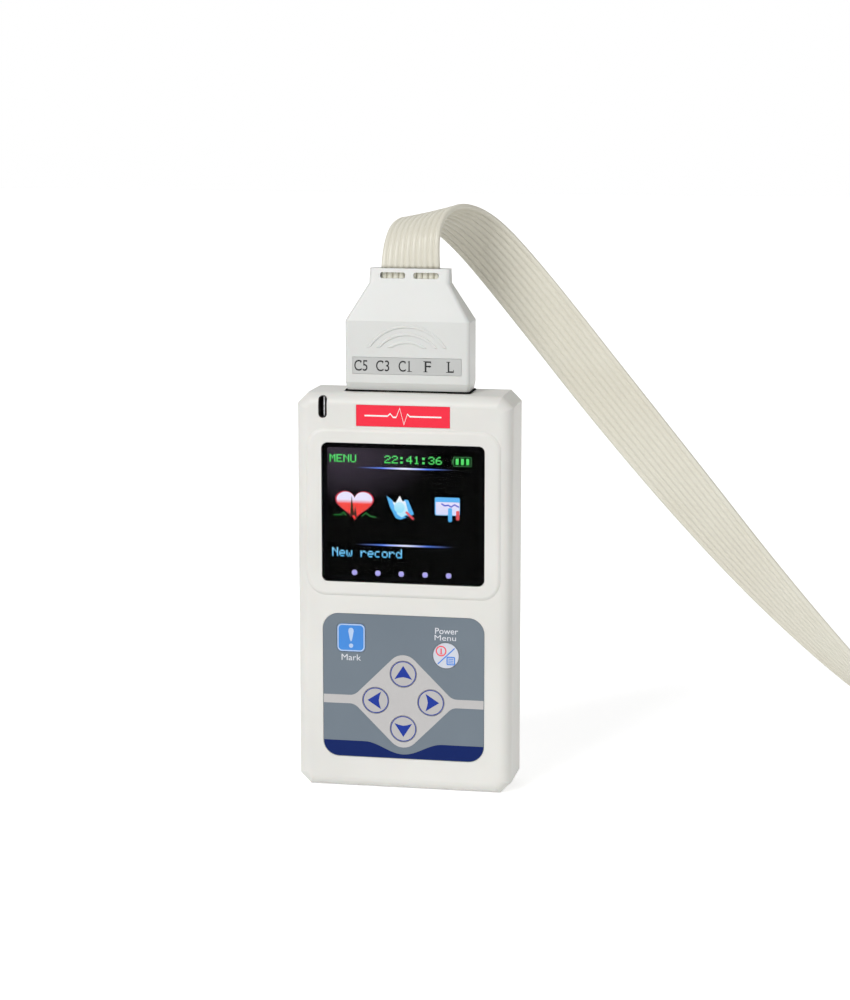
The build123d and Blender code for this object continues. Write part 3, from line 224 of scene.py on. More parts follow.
def grown_mesh(name, sizes, build, material):
    """Plain mesh of a tree of geometry nodes with these named sizes; build adds the form's nodes."""
    tree = bpy.data.node_groups.new(name, "GeometryNodeTree")
    tree.interface.new_socket("Geometry", in_out="OUTPUT", socket_type="NodeSocketGeometry")
    kinds = {float: "NodeSocketFloat", int: "NodeSocketInt", tuple: "NodeSocketVector"}
    keys = {
        size: tree.interface.new_socket(size, in_out="INPUT", socket_type=kinds[type(value)]).identifier
        for size, value in sizes.items()
    }
    given = add(tree, "NodeGroupInput")
    form = build(tree, given.outputs)
    real = add(tree, "GeometryNodeRealizeInstances", links={"Geometry": form})
    dressed = add(
        tree, "GeometryNodeSetMaterial", {"Material": material}, {"Geometry": real.outputs["Geometry"]}
    )
    add(tree, "NodeGroupOutput", links={"Geometry": dressed.outputs["Geometry"]})
    holder = bpy.data.objects.new(name + "_maker", bpy.data.meshes.new(name + "_maker"))
    growth = holder.modifiers.new("growth", "NODES")
    growth.node_group = tree
    for size, value in sizes.items():
        growth[keys[size]] = value
    mesh = evaluated_mesh(holder)
    mesh.name = name
    return mesh


def cone_spring(tree, given):
    """Two cone springs side by side, with their narrow ends towards the cells."""
    wire = add(tree, "GeometryNodeCurvePrimitiveCircle", {"Resolution": 10}, {"Radius": given["Wire radius"]})
    both = add(tree, "GeometryNodeJoinGeometry")
    springs = (("Base radius", "Tip radius", "Left place"), ("Tip radius", "Base radius", "Right place"))
    for start, end, place in springs:
        spiral = add(
            tree, "GeometryNodeCurveSpiral", {"Resolution": 28},
            {
                "Rotations": given["Turns"], "Start Radius": given[start], "End Radius": given[end],
                "Height": given["Height"],
            },
        )
        coil = add(
            tree, "GeometryNodeCurveToMesh", {"Fill Caps": True},
            {"Curve": spiral.outputs["Curve"], "Profile Curve": wire.outputs["Curve"]},
        )
        moved = add(
            tree, "GeometryNodeTransform",
            links={"Geometry": coil.outputs["Mesh"], "Translation": given[place]},
        )
        tree.links.new(moved.outputs["Geometry"], both.inputs["Geometry"])
    return both.outputs["Geometry"]


spring_wire_mm = 0.6
spring_height_mm = 4.6
spring_base_mm, spring_tip_mm = 7.2, 4.4
cell_aside_mm, cell_back_mm = 5.425, 3.55
low_contact_mm, high_contact_mm = 14.4, 58.5
nickel_wire = worked_metal("nickel_plated_wire", "#cfcdc6", "#b4b0a6", 0.24, 0.3)
spring_sizes = {
    "Wire radius": spring_wire_mm / 2 * mm,
    "Base radius": (spring_base_mm - spring_wire_mm) / 2 * mm,
    "Tip radius": (spring_tip_mm - spring_wire_mm) / 2 * mm,
    "Turns": 3.5,
    "Height": (spring_height_mm - spring_wire_mm) * mm,
    "Left place": (-cell_aside_mm * mm, cell_back_mm * mm, (low_contact_mm + spring_wire_mm / 2) * mm),
    "Right place": (cell_aside_mm * mm, cell_back_mm * mm, (high_contact_mm + spring_wire_mm / 2) * mm),
}
springs = new_piece(
    "battery_cone_springs", grown_mesh("battery_cone_springs", spring_sizes, cone_spring, nickel_wire),
    nickel_wire, "recorder",
)
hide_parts("battery_springs")
dress("battery_contacts", nickel_wire)

# Circuit board: glass-fibre laminate under a green solder mask, with fine copper tracks beneath it.
# The mask is glossy and a little uneven, and the tracks show as paler, raised lines.
track_length_mm, track_pitch_mm, track_mm, track_depth_mm = 4.0, 0.9, 0.12, 0.03
solder_mask, tree, shader = new_finish("solder_mask_green", Coat_Weight=0.4, Coat_Roughness=0.2)
place = own_place(tree)
turned = add(tree, "ShaderNodeMapping", {"Rotation": (math.pi / 2, 0, 0)}, {"Vector": place})
tracks = add(
    tree, "ShaderNodeTexBrick",
    {
        "Scale": 1.0, "Brick Width": track_length_mm * mm, "Row Height": track_pitch_mm * mm,
        "Mortar Size": track_mm * mm, "Color1": hex_colour("#1d5a34"), "Color2": hex_colour("#1a5230"),
        "Mortar": hex_colour("#2f7a4a"),
    },
    {"Vector": turned.outputs["Vector"]},
)
tree.links.new(tracks.outputs["Color"], shader.inputs["Base Color"])
vary_shine(tree, shader, place, 3.0, 0.28, 0.42)
emboss(tree, shader, tracks.outputs["Fac"], 0.4, track_depth_mm)
dress("main_board", solder_mask)

# Chips, switches, buzzer and the clock cell's holder: black epoxy or nylon, moulded with a matt skin.
# Epoxy mould compound is nearly black and faintly grainy; the flex tail is amber polyimide film.
chip_epoxy = moulded_plastic("chip_epoxy_black", "#26272a", "#202124", 0.55, 0.2, 0.35, 6.0)
dress("board_chips key_switches buzzer", chip_epoxy)
holder_nylon = moulded_plastic("holder_nylon_natural", "#d9d3c0", "#cdc6b1", 0.5, 0.3, 0.2, 8.0)
dress("clock_cell_holder", holder_nylon)
cell_steel = worked_metal("cell_stainless_steel", "#c9c9c6", "#b5b5b2", 0.22, 0.25)
dress("clock_cell", cell_steel)
polyimide_film = moulded_plastic(
    "polyimide_film_amber", "#b3701f", "#a5651a", 0.3, 0.5, 0.1, 6.0, Coat_Weight=0.3
)
dress("display_flex", polyimide_film)
cell_foam = moulded_plastic("gasket_foam_black", "#1c1c1e", "#161618", 0.9, 0.25, 0.9, 4.0)
dress("display_gasket display_tape", cell_foam)

# Window: a plate of cast acrylic in the bezel, with a black border printed on its back.
# The plate is clear and polished, with a coat that takes away nearly all reflection, and touch leaves it
# very slightly uneven.
window_acrylic, tree, shader = new_finish(
    "window_cast_acrylic", Transmission_Weight=1.0, IOR=1.08, Base_Color=hex_colour("#fbfcfc"),
)
vary_shine(tree, shader, own_place(tree), 9.0, 0.0, 0.004, detail=3.0)
dress("display_window", window_acrylic)


def facing_front(depth_mm):
    """Turns a flat drawing in millimetres to the front, at a depth."""
    return Matrix(((mm, 0, 0, 0), (0, 0, -mm, depth_mm * mm), (0, mm, 0, 0), (0, 0, 0, 1)))


def facing_back(depth_mm):
    """Turns a flat drawing in millimetres to the back, at a depth."""
    return Matrix(((-mm, 0, 0, 0), (0, 0, mm, depth_mm * mm), (0, mm, 0, 0), (0, 0, 0, 1)))


def soft_corners(corners):
    """Loop through corners given as place and radius, each rounded by a tangent arc."""
    arc_steps = 8
    loop = []
    for i, (x, z, radius) in enumerate(corners):
        at = Vector((x, z))
        back = (Vector(corners[i - 1][:2]) - at).normalized()
        on = (Vector(corners[(i + 1) % len(corners)][:2]) - at).normalized()
        if radius <= 0:
            loop.append((x, z))
            continue
        half = back.angle(on) / 2
        run = radius / math.tan(half)
        centre = at + (back + on).normalized() * (radius / math.sin(half))
        first = at + back * run - centre
        sweep = first.angle_signed(at + on * run - centre)
        for k in range(arc_steps + 1):
            loop.append(tuple(centre + Matrix.Rotation(-sweep * k / arc_steps, 2) @ first))
    return loop


quarters = ((-1, -1), (1, -1), (1, 1), (-1, 1))


def plate_loop(x, z, width, height, radius):
    """Loop of a rectangle with round corners about its middle."""
    w, h = width / 2, height / 2
    return soft_corners([(x + u * w, z + v * h, radius) for u, v in quarters])


def ring_loop(x, z, radius):
    """Loop of a circle."""
    sides = 48
    turns = [math.tau * i / sides for i in range(sides)]
    return [(x + radius * math.cos(turn), z + radius * math.sin(turn)) for turn in turns]


def letters(words, x_span, z_span, heavy=0.0):
    """Lettering drawn flat, fitted between two places across and two heights."""
    text = bpy.data.curves.new("letters", "FONT")
    text.body = words
    text.offset = heavy
    text.extrude = 0.01
    mesh = evaluated_mesh(bpy.data.objects.new("letters", text))
    xs, ys = [v.co.x for v in mesh.vertices], [v.co.y for v in mesh.vertices]
    for v in mesh.vertices:
        v.co.x = x_span[0] + (v.co.x - min(xs)) / (max(xs) - min(xs)) * (x_span[1] - x_span[0])
        v.co.y = z_span[0] + (v.co.y - min(ys)) / (max(ys) - min(ys)) * (z_span[1] - z_span[0])
    return mesh


def mesh_of(name, form):
    """Plain mesh of a built form, with its faces turned outwards."""
    bmesh.ops.recalc_face_normals(form, faces=form.faces)
    mesh = bpy.data.meshes.new(name)
    form.to_mesh(mesh)
    form.free()
    return mesh


def printed(name, loops, place, material, body, words=(), thickness=0.02):
    """Thin print of flat loops, where a loop inside another is a hole, and of words."""
    form = bmesh.new()
    meshes = list(words)
    if loops:
        sheet = bpy.data.curves.new(name, "CURVE")
        sheet.dimensions = "2D"
        sheet.fill_mode = "BOTH"
        sheet.extrude = thickness / 2
        for loop in loops:
            line = sheet.splines.new("POLY")
            line.points.add(len(loop) - 1)
            for knot, (x, z) in zip(line.points, loop):
                knot.co = (x, z, 0, 1)
            line.use_cyclic_u = True
        meshes.insert(0, evaluated_mesh(bpy.data.objects.new(name, sheet)))
    for mesh in meshes:
        form.from_mesh(mesh)
        bpy.data.meshes.remove(mesh)
    bmesh.ops.remove_doubles(form, verts=form.verts, dist=0.0002)
    mesh = mesh_of(name, form)
    mesh.transform(place)
    return new_piece(name, mesh, material, body, smooth=False)


def printing_ink(name, colour, roughness=0.35, **sockets):
    """Screen-printed ink: one colour laid on a little unevenly, so its shine is faintly mottled."""
    lay_mm = 0.8
    paler = 1.06
    material, tree, shader = new_finish(name, **sockets)
    lay = vary_shine(tree, shader, own_place(tree), lay_mm, roughness - 0.06, roughness + 0.06, detail=3.0)
    tint = add(tree, "ShaderNodeMix", {"data_type": "RGBA"}, {0: lay})
    tint.inputs[6].default_value = hex_colour(colour)
    tint.inputs[7].default_value = tuple([min(1.0, c * paler) for c in hex_colour(colour)[:3]]) + (1.0,)
    tree.links.new(tint.outputs[2], shader.inputs["Base Color"])
    return material


window_z = 80.75
border_mm = (46.7, 39.8, 1.65)
sight_mm = (43.9, 37.1, 0.5)
border_y = -10.53
border_ink = printing_ink("border_ink_black", "#020203", 0.6, Specular_IOR_Level=0.02)
printed(
    "window_black_border", [plate_loop(0, window_z, *size) for size in (border_mm, sight_mm)],
    facing_front(border_y), border_ink, "recorder",
)

# Display: a colour LCD under glass. Unlit it is black with a faint violet bloom near a corner.
# The picture is light itself, so its pieces glow; they show a menu of three generic drawings.
display_glass, tree, shader = new_finish("display_glass_unlit", Specular_IOR_Level=0.0, Emission_Strength=0.8)
place = own_place(tree)
bloom_shift, bloom_squash, bloom_narrowing = (0.022, 0, -0.196), (1, 0, 2), 32.0
bloom_at = add(
    tree, "ShaderNodeMapping", {"Location": bloom_shift, "Scale": bloom_squash}, {"Vector": place}
)
spread = add(
    tree, "ShaderNodeVectorMath", {"operation": "SCALE", "Scale": bloom_narrowing},
    {"Vector": bloom_at.outputs["Vector"]},
)
bloom = add(
    tree, "ShaderNodeTexGradient", {"gradient_type": "SPHERICAL"}, {"Vector": spread.outputs["Vector"]}
)
blend_colours(
    tree, bloom.outputs["Fac"], "#010101", "#2e2831",
    [shader.inputs["Base Color"], shader.inputs["Emission Color"]],
)
vary_shine(tree, shader, place, 0.4, 0.45, 0.55)
dress("display_module", display_glass)


def pixel_finish(name):
    """Finish of lit pixels: dark in itself, and it glows."""
    return new_finish(
        "pixels_" + name, Base_Color=hex_colour("#050505"), Roughness=0.4, Emission_Strength=1.0
    )


def lit_pixels(name, low_colour, high_colour, low_mm, high_mm):
    """Lit pixels: light that runs from one colour to another between two heights."""
    material, tree, shader = pixel_finish(name)
    run = along_height(tree, own_place(tree), low_mm, high_mm)
    blend_colours(tree, run, low_colour, high_colour, [shader.inputs["Emission Color"]])
    return material


dot_font = {
    "M": "10001 11011 10101 10101 10001 10001 10001",
    "E": "11111 10000 10000 11110 10000 10000 11111",
    "N": "10001 11001 10101 10011 10001 10001 10001",
    "U": "10001 10001 10001 10001 10001 10001 01110",
    "2": "01110 10001 00001 00110 01000 10000 11111",
    "4": "00010 00110 01010 10010 11111 00010 00010",
    ":": "00000 01100 01100 00000 00000 01100 01100",
    "1": "00100 01100 00100 00100 00100 00100 01110",
    "3": "01110 10001 00001 00110 00001 10001 01110",
    "6": "00110 01000 10000 11110 10001 10001 01110",
    "e": "00000 00000 01110 10001 11111 10000 01110",
    "w": "00000 00000 10001 10001 10101 10101 01010",
    "r": "00000 00000 10110 11001 10000 10000 10000",
    "c": "00000 00000 01110 10000 10000 10000 01110",
    "o": "00000 00000 01110 10001 10001 10001 01110",
    "d": "00001 00001 01101 10011 10001 10001 01111",
    " ": "00000 00000 00000 00000 00000 00000 00000",
}


def screen_words(words, x_span, z_span):
    """Loops of the lit dots of words, in letters five dots wide and seven high."""
    wide = (x_span[1] - x_span[0]) / (6 * len(words) - 1)
    high = (z_span[1] - z_span[0]) / 7
    loops = []
    for i, letter in enumerate(words):
        for row, dots in enumerate(dot_font[letter].split()):
            for column, dot in enumerate(dots):
                if dot == "1":
                    x = x_span[0] + (6 * i + column + 0.5) * wide
                    z = z_span[1] - (row + 0.5) * high
                    w, h = wide / 2, high / 2
                    loops.append([(x - w, z - h), (x + w, z - h), (x + w, z + h), (x - w, z + h)])
    return loops


def drawn_line(places, width_mm):
    """Loop of a line of even width through places that run to the right."""
    half = width_mm / 2
    sides = [[], []]
    ends = [places[0], *places, places[-1]]
    for before, at, after in zip(ends, ends[1:], ends[2:]):
        ahead = (Vector(after) - Vector(before)).normalized()
        for side, sign in zip(sides, (1, -1)):
            side.append((at[0] - ahead.y * half * sign, at[1] + ahead.x * half * sign))
    return sides[0] + sides[1][::-1]


light_colours = {
    "green": ("#2ecf48", "#4fe46a", 94.0, 97.5), "dark_green": ("#0d5f22", "#107028", 94.0, 97.5),
    "cyan": ("#4fb8f6", "#7fd6ff", 67.5, 70.2), "lilac": ("#9f9ae6", "#b6aef0", 62.0, 64.0),
    "red": ("#ee2a1a", "#e6e0fa", 82.9, 84.1), "rim_red": ("#d01414", "#c0183e", 79.0, 86.4),
    "trace": ("#1c8a34", "#27b545", 77.0, 86.0), "dark_red": ("#3a0a0c", "#123a18", 79.0, 85.0),
    "blue": ("#35a6e8", "#56b4f4", 78.4, 86.0), "white": ("#a8e4fa", "#f4f4fc", 80.0, 85.0),
    "aqua": ("#86dcf6", "#bfe9fa", 80.5, 84.0), "pen": ("#d02a34", "#ef5a5e", 78.0, 84.0),
    "lavender": ("#cfd8f8", "#e8def6", 80.0, 84.5), "navy": ("#1c2ab0", "#3a52d8", 80.0, 84.5),
}
lights = {name: lit_pixels(name, *look) for name, look in light_colours.items()}

# A thin flare runs across the screen twice; its light fades from white in the middle to deep blue.
flare_half_mm, flare_fade_mm, flare_swell_mm = 15, 14.0, 0.26
lights["flare"], tree, shader = pixel_finish("flare")
split = add(tree, "ShaderNodeSeparateXYZ", links={"Vector": own_place(tree)})
aside = add(tree, "ShaderNodeMath", {"operation": "ABSOLUTE"}, {0: split.outputs["X"]})
run = add(tree, "ShaderNodeMapRange", {"From Max": flare_fade_mm * mm}, {"Value": aside.outputs["Value"]})
ramp = blend_colours(tree, run.outputs["Result"], "#e8ecff", "#02041c", [shader.inputs["Emission Color"]])
ramp.elements.new(0.45).color = hex_colour("#4a78f0")
flares = []
for z in (93.36, 71.17):
    top = []
    for x in range(-flare_half_mm, flare_half_mm + 1, 3):
        top.append((x, z + flare_swell_mm * math.cos(math.pi / 2 * x / (flare_half_mm + 1))))
    flares.append(top + [(x, 2 * z - y) for x, y in reversed(top)])

# The top row holds the screen's name, the clock and a gauge of three bars.
top_row, name_row = (94.8, 97.0), (67.5, 70.1)
gauge_x, gauge_z = 16.6, 95.8
top_words = screen_words("MENU", (-21.7, -14.0), top_row) + screen_words("22:41:36", (-5.8, 10.7), top_row)
gauge = [
    plate_loop(gauge_x, gauge_z, 5.2, 2.8, 0.3), plate_loop(gauge_x, gauge_z, 4.8, 2.4, 0.2),
    plate_loop(gauge_x - 2.85, gauge_z, 0.35, 1.2, 0.1),
]
bars = [plate_loop(gauge_x + aside, gauge_z, 0.85, 1.75, 0.1) for aside in (-1.5, 0, 1.5)]
dots = [ring_loop(x, 62.93, 0.8) for x in (-14.6, -7.8, -1.0, 5.9, 12.7)]

# The first drawing is a heart with a pulse trace across it.
heart_x, heart_z, heart_size = -14.5, 83.0, 5.6
heart_steps = 72
hearts = []
for size in (heart_size, heart_size * 0.93):
    heart = []
    for i in range(heart_steps):
        a = math.tau * i / heart_steps
        across = math.sin(a) ** 3
        up = 13 * math.cos(a) - 5 * math.cos(2 * a) - 2 * math.cos(3 * a) - math.cos(4 * a)
        heart.append((heart_x + across * size, heart_z + up / 14.5 * size * 0.76))
    hearts.append(heart)
trace_left = [(-20.6, 79.5), (-18.6, 79.5), (-17.8, 80.4), (-16.9, 79.3)]
trace_right = [(-12.4, 79.3), (-11.2, 80.4), (-9.9, 79.3), (-8.3, 79.2)]
trace_inside = [
    (-16.9, 79.3), (-16.3, 80.8), (-15.8, 78.9), (-15.3, 85.0), (-14.7, 79.6), (-14.3, 82.0), (-13.8, 78.4),
]

# The second is an open folder with a lens and a pen, and the third a panel with two tools.
cover = [
    (-5.2, 85.4), (-3.6, 84.3), (-2.6, 82.2), (-1.6, 80.6), (0.6, 79.4), (-1.2, 78.7), (-2.6, 79.1),
    (-4.3, 82.4),
]
leaf = [(-0.2, 84.5), (1.0, 84.4), (2.7, 80.4), (1.4, 79.7), (-1.1, 80.2), (0.2, 82.4)]
pages = [
    (-3.5, 83.9), (-2.6, 83.5), (-1.4, 85.6), (-0.6, 84.0), (0.2, 84.1), (1.2, 80.6), (-0.8, 79.3),
    (-2.1, 80.2),
]
pen = [(0.4, 81.0), (2.6, 78.9)]
jaws = [(10.6, 83.7), (11.6, 83.1), (12.6, 83.3), (13.4, 82.8), (14.4, 83.5), (15.6, 82.8)]

# Each drawing's piece has its name, its loops, its layer on the screen and its light.
picture_y, layer_mm = -8.53, 0.03
drawings = [
    ("green_words", top_words + bars, 0, "green"),
    ("gauge_outline", gauge, 0, "dark_green"),
    ("cyan_words", screen_words("New record", (-21.1, -0.8), name_row), 0, "cyan"),
    ("lilac_dots", dots, 0, "lilac"),
    ("flares", flares, 0, "flare"),
    ("heart_rim", hearts[:1], 0, "rim_red"),
    ("heart", hearts[1:], 1, "red"),
    ("heart_trace", [drawn_line(trace_left, 0.2), drawn_line(trace_right, 0.2)], 0, "trace"),
    ("heart_pulse", [drawn_line(trace_inside, 0.17)], 2, "dark_red"),
    ("folder", [cover, leaf], 0, "blue"),
    ("folder_pages", [pages], 1, "white"),
    ("folder_lens", [ring_loop(-1.5, 82.2, 1.55)], 2, "aqua"),
    ("folder_pen", [drawn_line(pen, 0.62)], 2, "pen"),
    ("panel", [plate_loop(12.3, 82.9, 7.2, 5.2, 0.5)], 0, "blue"),
    ("panel_face", [plate_loop(12.4, 82.3, 6.8, 3.7, 0.3)], 1, "lavender"),
    ("panel_tool", [plate_loop(13.1, 80.5, 1.15, 4.0, 0.4)], 2, "blue"),
    ("panel_jaws", [drawn_line(jaws, 0.42)], 2, "navy"),
    ("panel_knife", [plate_loop(15.3, 80.4, 0.95, 2.7, 0.3)], 2, "pen"),
]
for name, loops, layer, light in drawings:
    printed("screen_" + name, loops, facing_front(picture_y - layer * layer_mm), lights[light], "recorder")

# Keypad film: polyester, printed on its back and finely textured on its face, stuck in a shallow seat.
# The ground is slate grey; a pale diamond with two bands and a navy foot are printed over it.
film_grey = moulded_plastic("keypad_polyester_slate", "#707c86", "#6b7782", 0.4, 0.25, 0.3, 40.0)
dress("keypad_film", film_grey)
diamond_ink = printing_ink("keypad_ink_pale", "#bebcbb", 0.4)
navy_ink = printing_ink("keypad_ink_navy", "#06205e", 0.4, Specular_IOR_Level=0.15)
case_front_mm = -11.0
front_face = facing_front(case_front_mm)
pad_z, pad_reach = 26.25, 8.05
arrow_keys = {
    "up": (0, pad_z + pad_reach), "down": (0, pad_z - pad_reach), "left": (-pad_reach, pad_z),
    "right": (pad_reach, pad_z),
}
well_radius = 3.95
half_diagonal, band, edge = 15.5, 1.25, 23.3
bend, tip = 3.4, 4.6
diamond = soft_corners([
    (0, pad_z + half_diagonal, tip), (half_diagonal - band, pad_z + band, bend), (edge, pad_z + band, 0),
    (edge, pad_z - band, 0), (half_diagonal - band, pad_z - band, bend), (0, pad_z - half_diagonal, tip),
    (-half_diagonal + band, pad_z - band, bend), (-edge, pad_z - band, 0), (-edge, pad_z + band, 0),
    (-half_diagonal + band, pad_z + band, bend),
])
wells = [ring_loop(x, z, well_radius) for x, z in arrow_keys.values()]
printed("keypad_pale_diamond", [diamond] + wells, front_face, diamond_ink, "recorder")
foot_z, dip_z, dip_reach = 14.0, 10.6, 11.4
film_foot_z, film_corner = 9.45, 4.5
crest_steps = 24
crest = [(-edge, foot_z)]
for i in range(crest_steps + 1):
    x = dip_reach * (2 * i / crest_steps - 1)
    crest.append((x, dip_z + (foot_z - dip_z) * (1 - math.cos(math.pi * x / dip_reach)) / 2))
crest.append((edge, foot_z))
foot_corners = soft_corners([
    (edge, foot_z, 0), (edge, film_foot_z, film_corner), (-edge, film_foot_z, film_corner),
    (-edge, foot_z, 0),
])
printed("keypad_navy_foot", [crest + foot_corners[1:-1]], front_face, navy_ink, "recorder")
key_words_ink = printing_ink("keypad_ink_white", "#d9dae0", 0.4)
key_words = [
    letters("Mark", (-18.0, -12.3), (37.7, 39.5)),
    letters("Power", (9.25, 15.9), (46.5, 48.25), 0.006),
    letters("Menu", (9.1, 15.3), (44.6, 46.2)),
]
printed("keypad_words", [], front_face, key_words_ink, "recorder", key_words)

# Keys: caps of the film's own polyester, free to move in their wells, with their marks printed on.
# The four arrow keys are pale with a navy ring, the mark key is blue and the power key nearly white.
key_pale = moulded_plastic("key_polyester_pale", "#bebcbb", "#b9b7b6", 0.4, 0.25, 0.25, 40.0)
key_blue = moulded_plastic("key_polyester_blue", "#3f8de0", "#3a86d8", 0.36, 0.25, 0.25, 40.0)
key_white = moulded_plastic("key_polyester_white", "#d4d8e2", "#cfd3dd", 0.38, 0.25, 0.25, 40.0)
arrow_ink = printing_ink("key_ink_blue", "#0f3296", 0.4, Specular_IOR_Level=0.3)
menu_ink = printing_ink("key_ink_mid_blue", "#4a86dc", 0.4, Specular_IOR_Level=0.3)
turns = {"up": 0, "down": 2, "left": 1, "right": 3}
arrow = [(0, 2.4), (-2.6, -1.6), (-1.3, -1.15), (0, -0.9), (1.3, -1.15), (2.6, -1.6)]
ring_radii = (3.74, 3.48)
for name, (x, z) in arrow_keys.items():
    dress(name + "_key", key_pale)
    head = []
    for u, v in arrow:
        for _ in range(turns[name]):
            u, v = -v, u
        head.append((x + u, z + v))
    ring = [ring_loop(x, z, radius) for radius in ring_radii]
    printed(name + "_key_print", ring + [head], front_face, arrow_ink, name + "_key")
dress("mark_key", key_blue)
mark_x, mark_z = -15.2, 44.35
rim_ink = printing_ink("key_ink_pale_blue", "#b4cbea", 0.35)
mark_rim = [plate_loop(mark_x, mark_z, side, side, radius) for side, radius in ((8.0, 1.35), (7.3, 1.1))]
half_drop = [(0, -1.2), (0.3, -0.6), (0.62, 1.0), (0.78, 1.9), (0.7, 2.45), (0.4, 2.8), (0, 2.9)]
drop = [(mark_x + u, mark_z + v) for u, v in half_drop]
drop += [(mark_x - u, mark_z + v) for u, v in half_drop[-2:0:-1]]
drop_foot = ring_loop(mark_x, mark_z - 2.35, 0.62)
printed("mark_key_print", mark_rim + [drop, drop_foot], front_face, rim_ink, "mark_key")
dress("power_menu_key", key_white)
power_x, power_z = 12.4, 40.25
power_ink = printing_ink("key_ink_red", "#ee4658", 0.35)
sign_x, sign_z = power_x - 1.4, power_z + 1.3
power_sign = [
    ring_loop(sign_x, sign_z, 1.55), ring_loop(sign_x, sign_z, 1.2),
    plate_loop(sign_x, sign_z, 0.36, 1.5, 0.1), plate_loop(sign_x, sign_z - 0.86, 0.9, 0.2, 0),
]
printed("power_key_print", power_sign, front_face, power_ink, "power_menu_key")
slash = [(power_x + u, power_z + v) for u, v in ((-2.5, -2.4), (-2.25, -2.65), (2.65, 2.1), (2.4, 2.35))]
sheet_x, sheet_z = power_x + 1.4, power_z - 1.5
menu_sheet = [plate_loop(sheet_x, sheet_z, 2.5, 2.5, 0.4), plate_loop(sheet_x, sheet_z, 1.8, 1.8, 0.15)]
menu_sheet += [plate_loop(sheet_x, sheet_z + step, 1.5, 0.3, 0.05) for step in (-0.55, 0.0, 0.55)]
printed("menu_key_print", [slash] + menu_sheet, front_face, menu_ink, "power_menu_key")

# Strip under the top edge: red printed foil in a shallow seat, with a plain white pulse line.
# It carries no words.
strip_foil = printing_ink(
    "strip_foil_red", "#f4243f", 0.35, Specular_IOR_Level=0.3, Coat_Weight=0.15, Coat_Roughness=0.15
)
dress("nameplate", strip_foil)
pulse = [
    (-11, 108.6), (-4.4, 108.6), (-3.6, 109.3), (-2.8, 108.3), (-1.9, 108.3), (-0.9, 110.9), (0.3, 106.3),
    (1.3, 109.3), (2.0, 108.6), (11, 108.6),
]
pulse_half_mm = 0.22
pulse_ink = printing_ink("strip_ink_white", "#f4f2f0", 0.35)
pulse_loop = [(x, z + pulse_half_mm) for x, z in pulse] + [(x, z - pulse_half_mm) for x, z in reversed(pulse)]
printed("strip_pulse_line", [pulse_loop], front_face, pulse_ink, "recorder")

# Lanyard bar: a drawn stainless pin pressed in across its slot. Drawing leaves fine marks along it.
# The slot's depth is painted shade: a near-black sheet round its wall and another on its floor stand for the
# shade inside the hole.
drawn_steel = worked_metal("lanyard_drawn_steel", "#d3d4d6", "#a8a8aa", 0.2, 0.2, (1, 1, 0.05))
dress("lanyard_bar", drawn_steel)
slot_x, slot_z = -23.15, 110.75
slot_wall_y, slot_floor_y, slot_wall_depth_mm = -8.7, -6.6, 3.8
# Painted shade: a near-black finish for the slot's two sheets, in place of the shade deep in the hole.
slot_painted_shade = moulded_plastic("slot_painted_shade_dark", "#2b2622", "#1b1816", 0.5, 0.3, 0.3, 5.0)
slot_loops = [plate_loop(slot_x, slot_z, *size) for size in ((2.46, 6.26, 1.15), (2.16, 5.96, 1.0))]
slot_wall = printed(
    "slot_wall_painted_shade", slot_loops, facing_front(slot_wall_y), slot_painted_shade, "recorder",
    thickness=slot_wall_depth_mm,
)
slot_floor = printed(
    "slot_floor_painted_shade", [plate_loop(slot_x, slot_z, 2.4, 6.2, 1.1)], facing_front(slot_floor_y), slot_painted_shade,
    "recorder",
)

# Cable socket and plug connector: nickel-plated steel shells round black glass-filled nylon.
# The pins and the contact tails are gold-plated brass.
nickel_shell = worked_metal("nickel_plated_shell", "#c9c6bd", "#b0aca2", 0.25, 0.35)
gold_contact = worked_metal("gold_plated_brass", "#d9b15a", "#c89f48", 0.22, 0.2)
connector_nylon = moulded_plastic("connector_nylon_black", "#1c1c1f", "#171719", 0.45, 0.25, 0.3, 5.0)
dress("socket_shell plug_shell", nickel_shell)
dress("socket_core plug_core", connector_nylon)
dress("socket_contacts plug_pins", gold_contact)

# Painted shade: a flat near-black ring round the socket, in the gap under the plug's foot, stands for the
# shade in that gap.
# Its edges are square and its face is matt.
# Painted shade: a near-black, matt finish for the ring in the gap under the plug's foot.
gap_painted_shade = moulded_plastic(
    "gap_painted_shade_black", "#0c0c0d", "#080809", 0.9, 0.25, 0.6, 4.0, Specular_IOR_Level=0.1
)
shade_ring_mm, shade_ring_gap_mm = 0.36, 0.02
hood_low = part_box("plug_front_hood")[0]
shade_ring_y = (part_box("plug_rear_hood")[1][1] + hood_low[1]) / 2
shade_ring_z = hood_low[2] - (shade_ring_gap_mm + shade_ring_mm / 2) * mm
laid_flat = Matrix(((mm, 0, 0, 0), (0, mm, 0, shade_ring_y), (0, 0, mm, shade_ring_z), (0, 0, 0, 1)))
gap_shade_ring = printed(
    "socket_gap_shade_ring", [plate_loop(0, 0, 36.2, 10.0, 0.8), plate_loop(0, 0, 33.0, 8.6, 0.5)],
    laid_flat, gap_painted_shade, "recorder", thickness=shade_ring_mm,
)

